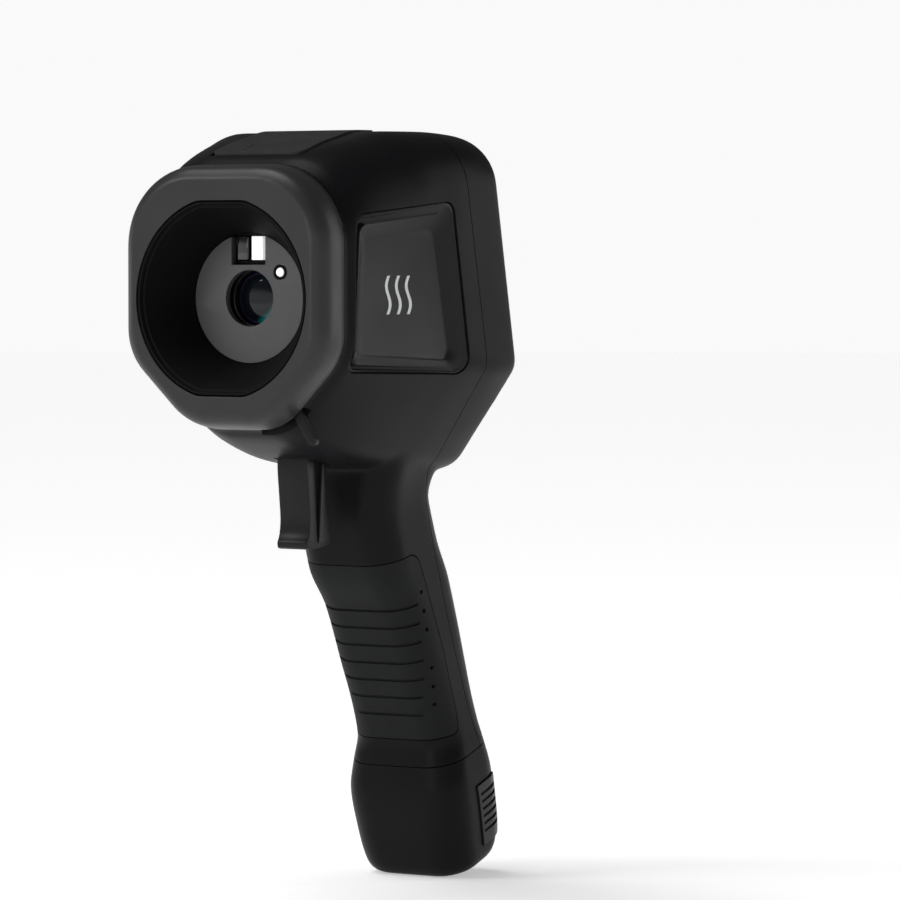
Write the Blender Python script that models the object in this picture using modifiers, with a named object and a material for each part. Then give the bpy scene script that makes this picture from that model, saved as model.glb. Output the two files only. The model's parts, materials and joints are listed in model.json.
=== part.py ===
"""Hand-held thermal imaging camera with a pistol grip.

The lens looks along -Y, the display faces +Y and +Z is up; +X is the
operator's left.  Driving dimensions are in millimetres and are turned into
metres where a mesh is made.
"""
import math

import bmesh
import bpy
from mathutils import Matrix, Vector

MM = 0.001

# ---------------------------------------------------------------- dimensions
GAP = 0.3                # clearance between pieces that touch
HEIGHT = 243.95          # whole instrument
WALL = 2.6               # housing wall
TOP_WALL = 3.4           # thicker roof that carries the connector cover
DISPLAY_WALL = 6.0       # from the display side's rim to the inside

# Head: stations from the front (y, lean, half width, top, shoulder, bottom
# half width, bottom, three corner radii); heights are measured down from the
# top of the instrument and lean is the share of DISPLAY_LEAN each one takes.
HEAD = [
    (-70.0, 0.00, 33.0, -15.6, -69.5, 13.0, -89.4, 21.0, 17.0, 17.0),
    (-68.4, 0.00, 35.6, -13.2, -70.0, 13.5, -91.4, 23.5, 18.0, 19.0),
    (-64.5, 0.00, 37.4, -11.8, -70.5, 14.0, -93.0, 25.0, 19.0, 20.0),
    (-59.0, 0.02, 37.7, -11.4, -70.5, 14.5, -93.8, 25.0, 19.0, 20.0),
    (-56.0, 0.03, 36.2, -12.4, -70.5, 14.5, -93.6, 24.0, 18.0, 19.0),
    (-52.5, 0.05, 37.8, -9.6, -70.8, 15.5, -96.2, 24.0, 18.0, 18.0),
    (-44.0, 0.10, 39.6, -6.6, -71.2, 17.0, -100.0, 22.0, 16.0, 16.0),
    (-28.0, 0.28, 42.4, -3.0, -72.0, 18.5, -105.0, 21.0, 15.0, 15.0),
    (-12.0, 0.50, 45.0, -0.6, -73.0, 19.5, -107.5, 19.0, 13.0, 14.0),
    (4.0, 0.75, 47.0, -0.5, -74.2, 20.0, -109.0, 17.0, 10.0, 14.0),
    (16.0, 0.95, 47.5, -1.0, -75.2, 20.0, -109.5, 15.5, 9.0, 13.0),
    (24.0, 1.00, 47.2, -2.0, -75.2, 19.8, -108.8, 14.5, 8.5, 12.5),
    (26.5, 1.00, 45.6, -3.6, -74.8, 19.0, -107.0, 13.0, 7.5, 11.5),
]
DISPLAY_LEAN = math.radians(12.0)   # the display faces a little upwards
LEAN_Z = HEIGHT - 47.95             # height where leaning stations keep their y
REAR_Y = HEAD[-1][0]
SHROUD_Y = -56.0                    # seam behind the lens shroud
COVER_Y = 6.4                       # seam ahead of the rear cover
CORNER_SEGMENTS = 5
ABOVE = HEIGHT + 26.05              # clear of the roof, for cutters
NECK_Z = HEIGHT - 103.95            # where the shroud ends and the neck begins
SEAM_LOW_Z = HEIGHT - 115.95        # lowest point of the seam on the neck

# Grip: it leans back from the neck, and its length follows from the height.
# Stations up its own axis from the base (along, half width, front, rear,
# front radius, rear radius), square to the axis; those of the neck follow
# the head.
GRIP_LEAN = math.radians(18.0)
BASE_Z = 3.6
NECK_Y = 8.6294                     # where the grip's axis ends inside the head
NECK_DROP = 95.7893
GRIP_LENGTH = (HEIGHT - NECK_DROP - BASE_Z) / math.cos(GRIP_LEAN)
BASE_Y = NECK_Y + GRIP_LENGTH * math.sin(GRIP_LEAN)
GRIP = [
    (0.0, 17.0, -11.6, 11.6, 9.0, 9.0),
    (1.2, 19.0, -13.6, 14.0, 10.0, 10.0),
    (4.0, 20.4, -15.0, 16.4, 11.0, 11.0),
    (12.0, 21.3, -15.9, 18.2, 11.5, 11.5),
    (22.0, 22.0, -16.0, 18.9, 12.0, 12.0),
    (29.0, 22.2, -15.4, 19.3, 12.0, 12.0),
    (39.0, 21.0, -11.6, 19.6, 11.5, 12.0),
    (46.0, 19.8, -8.6, 19.8, 11.0, 12.0),
    (57.0, 19.0, -9.6, 19.9, 11.0, 12.0),
    (74.0, 18.6, -12.4, 20.0, 11.0, 12.0),
    (95.0, 18.3, -15.8, 19.4, 11.0, 12.0),
    (GRIP_LENGTH - 41.0, 18.2, -21.4, 16.4, 11.0, 12.0),
    (GRIP_LENGTH - 26.0, 18.3, -21.8, 15.6, 11.0, 12.0),
    (GRIP_LENGTH - 18.0, 19.4, -21.4, 21.0, 11.0, 12.0),
    (GRIP_LENGTH - 9.0, 22.0, -19.6, 24.0, 11.0, 12.0),
    (GRIP_LENGTH, 25.0, -18.0, 24.0, 11.0, 12.0),
]
BATTERY_SEAM = 39.0
TOWER_TOP = 92.0         # how far the battery reaches up inside the grip
TOWER_SIDE_FIT = 0.7     # room between the battery's tower and the grip
TOWER_FIT = 0.8          # the same ahead of it and behind it
TOWER_WALL = 1.3
TOWER_RADII = (7.5, 6.0)
CELL_TOP = 86.0

# Lens recess
LENS_Z = HEIGHT - 52.95
RECESS_R = 30.6          # mouth of the recess, cut flat above and below
RECESS_FLAT = 29.4
RECESS_BACK_R = 21.2
PLATE_Y = -53.6          # front of the face plate
PLATE_T = 2.4
PLATE_R = 20.3
LENS_R = 8.0
LENS_MARGIN = 0.8        # how much wider the plate's hole is than the lens
LENS_HOLE_R = LENS_R + LENS_MARGIN
BARREL_WALL = 3.7
BARREL_R = LENS_R + GAP + BARREL_WALL
HOLE_RIM = 1.6           # between the lens hole and what lies round it
NOTCH = (-6.7, 5.9, LENS_HOLE_R + HOLE_RIM)    # left, right and lower edge
EMITTER = (LENS_HOLE_R + 2.6, 8.1)
EMITTER_R = 2.4

# Shutter
SHUTTER_PIVOT = (14.0, -28.0)
BLADE_R = LENS_HOLE_R + HOLE_RIM
SHUTTER_OPEN = math.radians(45.0)

# Display side, in the leaning frame (x, up, out)
GLASS_RADII = (20.0, 14.0, 12.0)
GLASS = [(44.0, 38.8), (44.0, -31.0), (14.0, -59.0)]
GLASS_DEPTH = 2.6
GLASS_T = 1.8
SCREEN_W = 69.0
SCREEN_H = 51.0
SCREEN_U = 1.1
KEY_U = -33.3
KEY_X = 21.6
KEY_W = 14.2
KEY_H = 6.6
NAV_U = -40.8
NAV_W = 20.8
NAV_H = 18.6
SELECT_W = 10.2
POWER_X = -16.6
POWER_U = -42.6
POWER_R = 3.1
BADGE_U = 35.4
KEY_RISE = 0.5           # keys stand this far out of the glass
KEY_TRAVEL = 0.6

# Side pockets: corners as y and distance below the top; the floor leans out
# towards the rear
POCKET = [(y, HEIGHT - drop)
          for y, drop in ((-51.5, 26.95), (-7.0, 22.45), (3.5, 77.35), (-52.0, 75.95))]
POCKET_FRONT_Y = -51.0
POCKET_X = 37.1
POCKET_SLOPE = 0.075
PANEL_T = 1.0

# Connector cover on the roof
COVER_HALF = 17.0
COVER_FRONT = -50.0
COVER_REAR = -8.0
SHELF_Z = HEIGHT - 17.95 # lower end of the cutters that shape the roof

# Trigger
TRIGGER_HALF = 5.6
TRIGGER_ROOM = 0.5       # on each side of the trigger
TRIGGER = [(y, HEIGHT - drop)
           for y, drop in ((-27.0, 91.95), (-28.4, 97.95), (-29.3, 105.95), (-28.4, 114.95),
                           (-27.6, 122.95), (-28.2, 127.95), (-29.4, 130.75), (-27.4, 132.55),
                           (-16.5, 131.35), (-15.4, 128.95), (-17.6, 119.95), (-18.6, 109.95),
                           (-18.2, 99.95), (-15.6, 91.95))]
TRIGGER_PIVOT = (-21.0, HEIGHT - 93.45)
PIN_R = 1.2

# Latches on the battery
LATCH_S = 17.5
LATCH_V = 6.5
LATCH_L = 21.0
LATCH_W = 12.5
LATCH_TRAVEL = 1.4


# ------------------------------------------------------------------- helpers
def clear_scene():
    for ob in list(bpy.data.objects):
        bpy.data.objects.remove(ob, do_unlink=True)


def new_collection(name):
    made = bpy.data.collections.new(name)
    bpy.context.scene.collection.children.link(made)
    return made


def material(name, color, roughness=0.5, metallic=0.0):
    made = bpy.data.materials.new(name)
    made.use_nodes = True
    shader = made.node_tree.nodes["Principled BSDF"]
    shader.inputs["Base Color"].default_value = (color[0], color[1], color[2], 1.0)
    shader.inputs["Roughness"].default_value = roughness
    shader.inputs["Metallic"].default_value = metallic
    made.diffuse_color = (color[0], color[1], color[2], 1.0)
    return made


def offset_corners(corners, grow):
    """Move every edge of the right half of a symmetric outline outwards."""
    full = list(corners) + [(-x, z) for x, z in reversed(corners)]
    count = len(full)
    moved = []
    for i in range(len(corners)):
        before, here, after = full[i - 1], full[i], full[(i + 1) % count]
        lines = []
        for a, b in ((before, here), (here, after)):
            dx, dz = b[0] - a[0], b[1] - a[1]
            length = math.hypot(dx, dz)
            nx, nz = -dz / length, dx / length
            lines.append((nx, nz, nx * a[0] + nz * a[1] + grow))
        (a1, b1, c1), (a2, b2, c2) = lines
        det = a1 * b2 - a2 * b1
        moved.append(((c1 * b2 - c2 * b1) / det, (a1 * c2 - a2 * c1) / det))
    return moved


def rounded(corners, radii, segments=CORNER_SEGMENTS):
    """Closed symmetric outline: the right-hand corners given top to bottom."""
    full = list(corners) + [(-x, z) for x, z in reversed(corners)]
    radii = list(radii) + list(reversed(radii))
    count = len(full)
    points = []
    for i in range(count):
        here = Vector(full[i])
        back = (Vector(full[i - 1]) - here).normalized()
        ahead = (Vector(full[(i + 1) % count]) - here).normalized()
        inside = back.angle(ahead)
        reach = radii[i] / math.tan(inside / 2.0)
        centre = here + (back + ahead).normalized() * (radii[i] / math.sin(inside / 2.0))
        start = here + back * reach - centre
        end = here + ahead * reach - centre
        sweep = start.angle_signed(end)
        for k in range(segments + 1):
            turn = Matrix.Rotation(-sweep * k / segments, 2)
            p = centre + turn @ start
            points.append((p.x, p.y))
    return points


def mesh_object(name, verts, faces, collection):
    mesh = bpy.data.meshes.new(name)
    mesh.from_pydata([(x * MM, y * MM, z * MM) for x, y, z in verts], [], faces)
    mesh.update()
    work = bmesh.new()
    work.from_mesh(mesh)
    bmesh.ops.remove_doubles(work, verts=work.verts, dist=1e-6)
    bmesh.ops.recalc_face_normals(work, faces=work.faces)
    work.to_mesh(mesh)
    work.free()
    made = bpy.data.objects.new(name, mesh)
    collection.objects.link(made)
    return made


def skin(name, rings, collection):
    """Closed solid through rings that all have the same number of points."""
    count = len(rings[0])
    verts = [p for ring in rings for p in ring]
    faces = []
    for r in range(len(rings) - 1):
        for i in range(count):
            j = (i + 1) % count
            a, b = r * count, (r + 1) * count
            faces.append((a + i, a + j, b + j, b + i))
    faces.append(tuple(range(count)))
    faces.append(tuple((len(rings) - 1) * count + i for i in range(count)))
    return mesh_object(name, verts, faces, collection)


def axes(first, second, third, origin=(0.0, 0.0, 0.0)):
    """Frame whose columns are the given directions."""
    columns = (first, second, third, origin)
    rows = [[column[row] for column in columns] for row in range(3)]
    return Matrix(rows + [[0.0, 0.0, 0.0, 1.0]])


def leaning(angle, origin):
    """Up and rearward directions of a frame that leans back by an angle."""
    c, s = math.cos(angle), math.sin(angle)
    return (0.0, -s, c), (0.0, c, s), origin


ACROSS = (1.0, 0.0, 0.0)
UP, OUT, CENTRE = leaning(DISPLAY_LEAN, (0.0, REAR_Y, LEAN_Z))
DISPLAY = axes(ACROSS, UP, OUT, CENTRE)          # (x, up, out)
ALONG, REARWARD, BASE = leaning(GRIP_LEAN, (0.0, BASE_Y, BASE_Z))
HANDLE = axes(ACROSS, REARWARD, ALONG, BASE)     # (x, across, along)
PLAIN = Matrix.Identity(4)
LENS = axes(ACROSS, (0.0, 0.0, 1.0), (0.0, 1.0, 0.0), (0.0, 0.0, LENS_Z))   # (x, z, y)
SIDE = axes((0.0, 1.0, 0.0), (0.0, 0.0, 1.0), ACROSS)                      # (y, z, x)


def display_point(x, up, out):
    return tuple(DISPLAY @ Vector((x, up, out)))


def grip_point(x, along, across):
    """Point of the grip's leaning frame; across grows towards the rear."""
    return tuple(HANDLE @ Vector((x, across, along)))


def placed(name, work, frame, collection):
    """Turn a bmesh in a frame's millimetres into an object in metres."""
    bmesh.ops.transform(work, matrix=Matrix.Scale(MM, 4) @ frame, verts=work.verts)
    bmesh.ops.recalc_face_normals(work, faces=work.faces)
    mesh = bpy.data.meshes.new(name)
    work.to_mesh(mesh)
    work.free()
    made = bpy.data.objects.new(name, mesh)
    collection.objects.link(made)
    return made


def box(name, low, high, collection, frame=PLAIN):
    """Box between two corners of a frame."""
    low, high = Vector(low), Vector(high)
    work = bmesh.new()
    bmesh.ops.create_cube(work, size=1.0)
    bmesh.ops.scale(work, vec=high - low, verts=work.verts)
    bmesh.ops.translate(work, vec=(low + high) / 2.0, verts=work.verts)
    return placed(name, work, frame, collection)


def disc(name, radius, low, high, collection, frame=LENS, at=(0.0, 0.0), segments=40):
    """Cylinder along a frame's third axis, between two depths."""
    work = bmesh.new()
    bmesh.ops.create_cone(work, cap_ends=True, segments=segments, radius1=radius,
                          radius2=radius, depth=high - low)
    bmesh.ops.translate(work, vec=(at[0], at[1], (low + high) / 2.0), verts=work.verts)
    return placed(name, work, frame, collection)


def curve_object(name, outline, collection):
    """Filled flat outline in millimetres."""
    curve = bpy.data.curves.new(name, "CURVE")
    curve.dimensions = "2D"
    curve.fill_mode = "BOTH"
    spline = curve.splines.new("POLY")
    spline.points.add(len(outline) - 1)
    for point, (a, b) in zip(spline.points, outline):
        point.co = (a, b, 0.0, 1.0)
    spline.use_cyclic_u = True
    made = bpy.data.objects.new(name, curve)
    collection.objects.link(made)
    return made


def evaluated_mesh(ob):
    bpy.context.view_layer.update()
    graph = bpy.context.evaluated_depsgraph_get()
    return bpy.data.meshes.new_from_object(ob.evaluated_get(graph))


def prism(name, outline, low, high, frame, collection):
    """Flat outline extruded along a frame's third axis, between two depths."""
    flat = curve_object("outline", outline, collection)
    flat.data.extrude = abs(high - low) / 2.0
    work = bmesh.new()
    work.from_mesh(evaluated_mesh(flat))
    bpy.data.objects.remove(flat, do_unlink=True)
    bmesh.ops.remove_doubles(work, verts=work.verts, dist=1e-3)
    for end in (-1.0, 1.0):
        cap = [face for face in work.faces if face.normal.z * end > 0.9]
        bmesh.ops.dissolve_faces(work, faces=cap)
    bmesh.ops.translate(work, vec=(0.0, 0.0, (low + high) / 2.0), verts=work.verts)
    return placed(name, work, frame, collection)


def turned(name, profile, collection, frame=LENS, segments=40):
    """Profile of (radius, depth) turned about a frame's third axis."""
    mesh = bpy.data.meshes.new("profile")
    mesh.from_pydata([(r, 0.0, d) for r, d in profile],
                     [(i, i + 1) for i in range(len(profile) - 1)], [])
    line = bpy.data.objects.new("profile", mesh)
    collection.objects.link(line)
    screw = line.modifiers.new("turn", "SCREW")
    screw.axis = "Z"
    screw.steps = screw.render_steps = segments
    screw.use_merge_vertices = True
    screw.merge_threshold = 1e-4
    work = bmesh.new()
    work.from_mesh(evaluated_mesh(line))
    bpy.data.objects.remove(line, do_unlink=True)
    return placed(name, work, frame, collection)


def boolean(target, cutter, how="DIFFERENCE"):
    mod = target.modifiers.new("cut", "BOOLEAN")
    mod.operation = how
    mod.solver = "EXACT"
    mod.object = cutter
    result = evaluated_mesh(target)
    target.modifiers.clear()
    target.data = result
    bpy.data.objects.remove(cutter, do_unlink=True)
    tidy_mesh(target)
    return target


def tidy_mesh(ob):
    work = bmesh.new()
    work.from_mesh(ob.data)
    bmesh.ops.remove_doubles(work, verts=work.verts, dist=2e-6)
    bmesh.ops.dissolve_degenerate(work, edges=work.edges, dist=2e-6)
    work.to_mesh(ob.data)
    work.free()
    ob.data.update()


def copy_of(ob, name):
    made = ob.copy()
    made.data = ob.data.copy()
    made.name = name
    made.data.name = name
    for c in ob.users_collection:
        c.objects.link(made)
    return made


def smooth(ob, angle=35.0):
    ob.data.shade_smooth()
    ob.data.set_sharp_from_angle(angle=math.radians(angle))


# ------------------------------------------------------------- outer surfaces
def head_ring(station, grow, half_width=None):
    y, lean, hw, top, shoulder, bw, bottom, r1, r2, r3 = station
    if half_width is not None:
        hw = min(hw, half_width)
    z0 = HEIGHT
    corners = [(hw, z0 + top), (hw, z0 + shoulder), (bw, z0 + bottom)]
    if grow:
        corners = offset_corners(corners, grow)
    radii = [max(r + grow, 1.0) for r in (r1, r2, r3)]
    shear = math.tan(DISPLAY_LEAN) * lean
    return [(x, y - (z - LEAN_Z) * shear, z) for x, z in rounded(corners, radii)]


def head_solid(name, grow, collection):
    """The head's outer form, grown or shrunk square to its own length."""
    return skin(name, [head_ring(station, grow) for station in HEAD], collection)


def head_cavity(name, collection):
    """Room inside the head, clear of the side pockets, roof and display wall."""
    rings = []
    for station in HEAD[2:11]:
        y = station[0]
        widest = POCKET_X - 2.0 + (y - POCKET_FRONT_Y) * POCKET_SLOPE
        lowered = station[:3] + (station[3] - TOP_WALL + WALL,) + station[4:]
        rings.append(head_ring(lowered, -WALL, widest + WALL))
    first = [(x, HEAD[0][0] + WALL, z) for x, y, z in head_ring(HEAD[0], -WALL - 0.6)]
    shear = math.tan(DISPLAY_LEAN)
    last = [(x, REAR_Y - DISPLAY_WALL - (z - LEAN_Z) * shear, z)
            for x, y, z in head_ring(HEAD[10], -WALL - 0.8, 44.0)]
    return skin(name, [first] + rings + [last], collection)


def grip_ring(station, grow, along=None):
    s, hw, front, rear, rf, rr = station
    corners = offset_corners([(hw, rear), (hw, front)], grow)
    radii = [max(rr + grow, 1.0), max(rf + grow, 1.0)]
    at = s if along is None else along
    return [grip_point(x, at, v) for x, v in rounded(corners, radii, 5)]


def grip_station(along):
    """Station interpolated at any height up the grip."""
    for a, b in zip(GRIP, GRIP[1:]):
        if a[0] <= along <= b[0]:
            t = (along - a[0]) / (b[0] - a[0])
            return tuple(p + (q - p) * t for p, q in zip(a, b))
    return GRIP[-1]


def grip_solid(name, grow, collection, low=None, high=None, extra=0.0):
    stations = [st for st in GRIP
                if (low is None or st[0] > low) and (high is None or st[0] < high)]
    if low is not None:
        stations.insert(0, grip_station(low))
    if high is not None:
        stations.append(grip_station(high))
    rings = [grip_ring(st, grow) for st in stations]
    if extra:
        rings.append(grip_ring(stations[-1], grow, stations[-1][0] + extra))
    return skin(name, rings, collection)


def tower_outline(inset):
    """Battery tower inside the narrowest part of the grip that it passes."""
    passed = [st for st in GRIP if BATTERY_SEAM < st[0] < TOWER_TOP + 4.0]
    half = min(st[1] for st in passed) - WALL - TOWER_SIDE_FIT - inset
    front = max(st[2] for st in passed) + WALL + TOWER_FIT + inset
    rear = min(st[3] for st in passed) - WALL - TOWER_FIT - inset
    return rounded([(half, rear), (half, front)], [r - inset for r in TOWER_RADII], 4)


def grip_yz(along, across):
    return grip_point(0.0, along, across)[1:]


def cover_seam(shift):
    """Side-view line between the main housing and the rear cover."""
    shear = math.tan(DISPLAY_LEAN)
    line = [(COVER_Y - (z - LEAN_Z) * shear + shift, z) for z in (ABOVE - 8.0, LEAN_Z, HEIGHT - 83.95)]
    line.append((19.4 + shift, NECK_Z))
    line.append((21.4 + shift, SEAM_LOW_Z))
    for along, across in ((112.0, 5.4), (80.0, 6.2), (52.0, 8.0)):
        y, z = grip_yz(along, across)
        line.append((y + shift, z))
    y, z = grip_yz(-30.0, 13.0)
    line.append((y + shift, z))
    return line


def recess_outline(radius, flat=None, segments=48):
    """Round outline about the lens axis, cut flat above and below."""
    points = []
    for k in range(segments):
        a = 2 * math.pi * (k + 0.5) / segments
        x, z = radius * math.cos(a), radius * math.sin(a)
        if flat is not None:
            z = max(-flat, min(flat, z))
        points.append((x, z))
    return points


def recess_ring(y, radius, flat=None):
    return [(x, y, LENS_Z + z) for x, z in recess_outline(radius, flat)]


def lens_box(name, low, high, collection):
    """Box with x and z measured from the lens axis: (x, y, z) corners."""
    (x0, y0, z0), (x1, y1, z1) = low, high
    return box(name, (x0, y0, LENS_Z + z0), (x1, y1, LENS_Z + z1), collection)


def ring_skin(name, rings, collection):
    """Closed ring-shaped solid: the last loop joins the first."""
    count = len(rings[0])
    verts = [p for ring in rings for p in ring]
    faces = []
    for r in range(len(rings)):
        a, b = r * count, ((r + 1) % len(rings)) * count
        for i in range(count):
            j = (i + 1) % count
            faces.append((a + i, a + j, b + j, b + i))
    return mesh_object(name, verts, faces, collection)


def side_prism(name, outline, low, high, collection):
    """Outline in (y, z) run along x."""
    return prism(name, outline, low, high, SIDE, collection)


def rounded_box(width, height, radius, at=(0.0, 0.0), segments=3):
    points = rounded([(width / 2, height / 2), (width / 2, -height / 2)],
                     [radius, radius], segments)
    return [(x + at[0], z + at[1]) for x, z in points]


def key_outline(side, grow):
    """Oblong key whose lower outer corner is clipped; side is +1 or -1."""
    w, h = KEY_W / 2 + grow, KEY_H / 2 + grow
    clip = 3.4
    points = [(-w, h), (w, h), (w, -h + clip), (w - clip * 1.25, -h), (-w + 1.0, -h), (-w, -h + 1.0)]
    points = [(x * side + side * KEY_X, z + KEY_U) for x, z in points]
    return points if side > 0 else list(reversed(points))


def pocket_floor(y):
    return POCKET_X + (y - POCKET_FRONT_Y) * POCKET_SLOPE


def pocket_outline(inset):
    """Side pocket's corners pulled in by inset."""
    cy = sum(p[0] for p in POCKET) / 4.0
    cz = sum(p[1] for p in POCKET) / 4.0
    return [(y + math.copysign(inset, cy - y), z + math.copysign(inset, cz - z))
            for y, z in POCKET]


def pocket_solid(name, side, inset, low, high, collection):
    """Solid over the pocket's outline; low and high are above its floor."""
    rings = []
    for lift in (low, high):
        rings.append([(side * (pocket_floor(y) + lift), y, z)
                      for y, z in pocket_outline(inset)])
    return skin(name, rings, collection)


def arc_outline(centre, inner, outer, start, stop, steps=8):
    """Sector between two radii; angles in the x, z plane."""
    points = []
    for k in range(steps + 1):
        a = start + (stop - start) * k / steps
        points.append((centre[0] + outer * math.cos(a), centre[1] + outer * math.sin(a)))
    for k in range(steps + 1):
        a = stop + (start - stop) * k / steps
        points.append((centre[0] + inner * math.cos(a), centre[1] + inner * math.sin(a)))
    return points


def bar_outline(a, b, half, cap=6):
    """Flat bar with round ends from a to b."""
    heading = math.atan2(b[1] - a[1], b[0] - a[0])
    points = []
    for centre, start in ((b, -90.0), (a, 90.0)):
        for k in range(cap + 1):
            turn = heading + math.radians(start + 180.0 * k / cap)
            points.append((centre[0] + half * math.cos(turn), centre[1] + half * math.sin(turn)))
    return points


# --------------------------------------------------------------------- pieces
class Builder:
    """Makes every piece and files it under its name."""

    def __init__(self):
        self.parts = new_collection("thermal_camera")
        self.tools = new_collection("cutters")
        self.tools.hide_render = True
        self.black = (0.020, 0.020, 0.022)
        self.made = {}

    def keep(self, ob, name, color=None, roughness=0.5, metallic=0.0, pivot=None, angle=35.0):
        """Name a piece, give it its own material and set its origin."""
        ob.name = name
        ob.data.name = name
        for held in list(ob.users_collection):
            held.objects.unlink(ob)
        self.parts.objects.link(ob)
        ob.data.materials.clear()
        ob.data.materials.append(material(name, color or self.black, roughness, metallic))
        if pivot is not None:
            at = Vector(pivot) * MM
            ob.data.transform(Matrix.Translation(-at))
            ob.location = at
        smooth(ob, angle)
        self.made[name] = ob
        return ob

    # housings ---------------------------------------------------------------
    def housings(self):
        t = self.tools
        shell = head_solid("shell", 0.0, t)
        boolean(shell, grip_solid("grip", 0.0, t), "UNION")
        inner = head_cavity("inner", t)
        boolean(inner, grip_solid("grip_inner", -WALL, t, 36.0, None, 2.0), "UNION")
        boolean(shell, inner)

        shroud = copy_of(shell, "front_shroud")
        boolean(shroud, box("c", (-60, SHROUD_Y - GAP / 2, 0), (60, 90, ABOVE), t))
        boolean(shroud, box("c", (-60, -90, -20), (60, 90, NECK_Z), t))
        mouth = recess_outline(RECESS_R + 0.9, RECESS_FLAT + 0.9)
        boolean(shroud, prism("mouth", mouth, -72.0, -55.0, LENS, t))
        self.keep(shroud, "front_shroud", (0.045, 0.045, 0.047), 0.55)

        main = shell
        boolean(main, box("c", (-60, -90, 0), (60, SHROUD_Y + GAP / 2, ABOVE), t))
        boolean(main, box("c", (-60, -70, -40), (60, 70, BATTERY_SEAM + GAP / 2), t, HANDLE))
        rear = copy_of(main, "rear_cover")
        ahead = cover_seam(-GAP / 2)
        behind = cover_seam(GAP / 2)
        boolean(main, side_prism("c", ahead + [(200, -40), (200, ABOVE - 8.0)], -60, 60, t))
        boolean(rear, side_prism("c", behind + [(-140, -40), (-140, ABOVE - 8.0)], -60, 60, t))
        self.trim_main(main)
        self.trim_rear(rear)

    def trim_main(self, main):
        t = self.tools
        for side in (-1, 1):
            boolean(main, pocket_solid("c", side, 0.0, 0.0, 30.0, t))
        # shelf under the connector cover, and the socket's window
        shelf = box("c", (-COVER_HALF - GAP, COVER_FRONT - GAP, SHELF_Z),
                    (COVER_HALF + GAP, COVER_REAR + GAP, ABOVE), t)
        boolean(shelf, head_solid("c2", -1.9, t))
        boolean(main, shelf)
        boolean(main, box("c", (-5.2, -34.0, SHELF_Z), (5.2, -24.0, ABOVE), t))
        # seat of the grip sleeve
        boolean(main, self.sleeve_solid("c", 0.3, -1.7, 1.0))
        # way in for the trigger, and the ears that carry its pin
        beside = TRIGGER_HALF + TRIGGER_ROOM
        boolean(main, box("c", (-beside, -31.2, SEAM_LOW_Z), (beside, -14.2, HEIGHT - 92.95), t))
        for side in (-1, 1):
            ear = box("c", (side * (beside + 0.5), -25.0, HEIGHT - 104.15),
                      (side * (beside + 3.5), -17.0, HEIGHT - 89.55), t)
            boolean(main, ear, "UNION")
        y, z = TRIGGER_PIVOT
        boolean(main, disc("c", PIN_R + 0.05, -12.0, 12.0, t, SIDE, (y, z), 24))
        # slot that the shutter's lever moves in
        px, pz = SHUTTER_PIVOT
        start = math.atan2(-16.0, 10.0)
        near, far, spare = 4.0, 26.0, 0.36
        slot = arc_outline((px, pz), near, far, start + spare, start - SHUTTER_OPEN - spare)
        boolean(main, prism("c", slot, -57.0, -52.9, LENS, t))
        self.keep(main, "main_housing", self.black, 0.6)

    def trim_rear(self, rear):
        t = self.tools
        corners = offset_corners(GLASS, GAP)
        seat = rounded(corners, GLASS_RADII, 6)
        boolean(rear, prism("c", seat, -GLASS_DEPTH, 6.0, DISPLAY, t))
        boolean(rear, prism("c", rounded_box(SCREEN_W - 2, SCREEN_H - 2, 1.5, (0, SCREEN_U)),
                            -8.0, 2.0, DISPLAY, t))
        for side in (-1, 1):
            boolean(rear, prism("c", key_outline(side, GAP), -8.0, 2.0, DISPLAY, t))
        boolean(rear, prism("c", rounded_box(NAV_W + 1.2, NAV_H + 1.2, 4.0, (0, NAV_U)),
                            -8.0, 2.0, DISPLAY, t))
        boolean(rear, disc("c", POWER_R + GAP, -8.0, 2.0, t, DISPLAY, (POWER_X, POWER_U), 24))
        self.keep(rear, "rear_cover", self.black, 0.55)

    def sleeve_solid(self, name, grow, inner, margin):
        """Front wrap of the grip between two skins of the grip's form."""
        t = self.tools
        wrap = grip_solid(name, grow, t, 44.0, 120.0)
        boolean(wrap, grip_solid("c", inner, t, 40.0, 124.0))
        m = margin - 0.7 if margin else 0.0
        edge = [(47.6 - m, -0.6 + m), (54.0, 0.6 + m), (76.0, 0.0 + m), (94.0, -2.2 + m),
                (108.0, -4.6 + m), (113.0 + m, -8.0), (113.6 + m, -30.0), (47.6 - m, -30.0)]
        zone = [grip_yz(along, across) for along, across in edge]
        boolean(wrap, side_prism("c", zone, -40, 40, t), "INTERSECT")
        return wrap

    # front ------------------------------------------------------------------
    def front(self):
        t = self.tools
        outer = [(-69.7, 0.6), (-67.0, 0.4)]
        inner = [(-67.0, -1.0), (-69.7, -0.6)]
        rings = []
        for y, grow in outer:
            rings.append(recess_ring(y, RECESS_R + grow, RECESS_FLAT + grow))
        for y, grow in ((-54.2, 0.8), (-51.4, 0.8), (-51.4, -0.6), (-54.2, -0.6)):
            rings.append(recess_ring(y, RECESS_BACK_R + grow))
        for y, grow in inner:
            rings.append(recess_ring(y, RECESS_R + grow, RECESS_FLAT + grow))
        self.keep(ring_skin("recess_liner", rings, t), "recess_liner", (0.010, 0.010, 0.011), 0.5)

        back = PLATE_Y + PLATE_T
        plate = disc("face_plate", PLATE_R, PLATE_Y, back, t, LENS, (0, 0), 56)
        left, right, low = NOTCH
        boolean(plate, lens_box("c", (left, -60, low), (right, -40, 30), t))
        boolean(plate, disc("c", LENS_HOLE_R, -60, -40, t))
        boolean(plate, disc("c", EMITTER_R + 0.15, -60, -40, t, LENS, EMITTER, 24))
        self.keep(plate, "face_plate", (0.10, 0.10, 0.105), 0.45)

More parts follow.
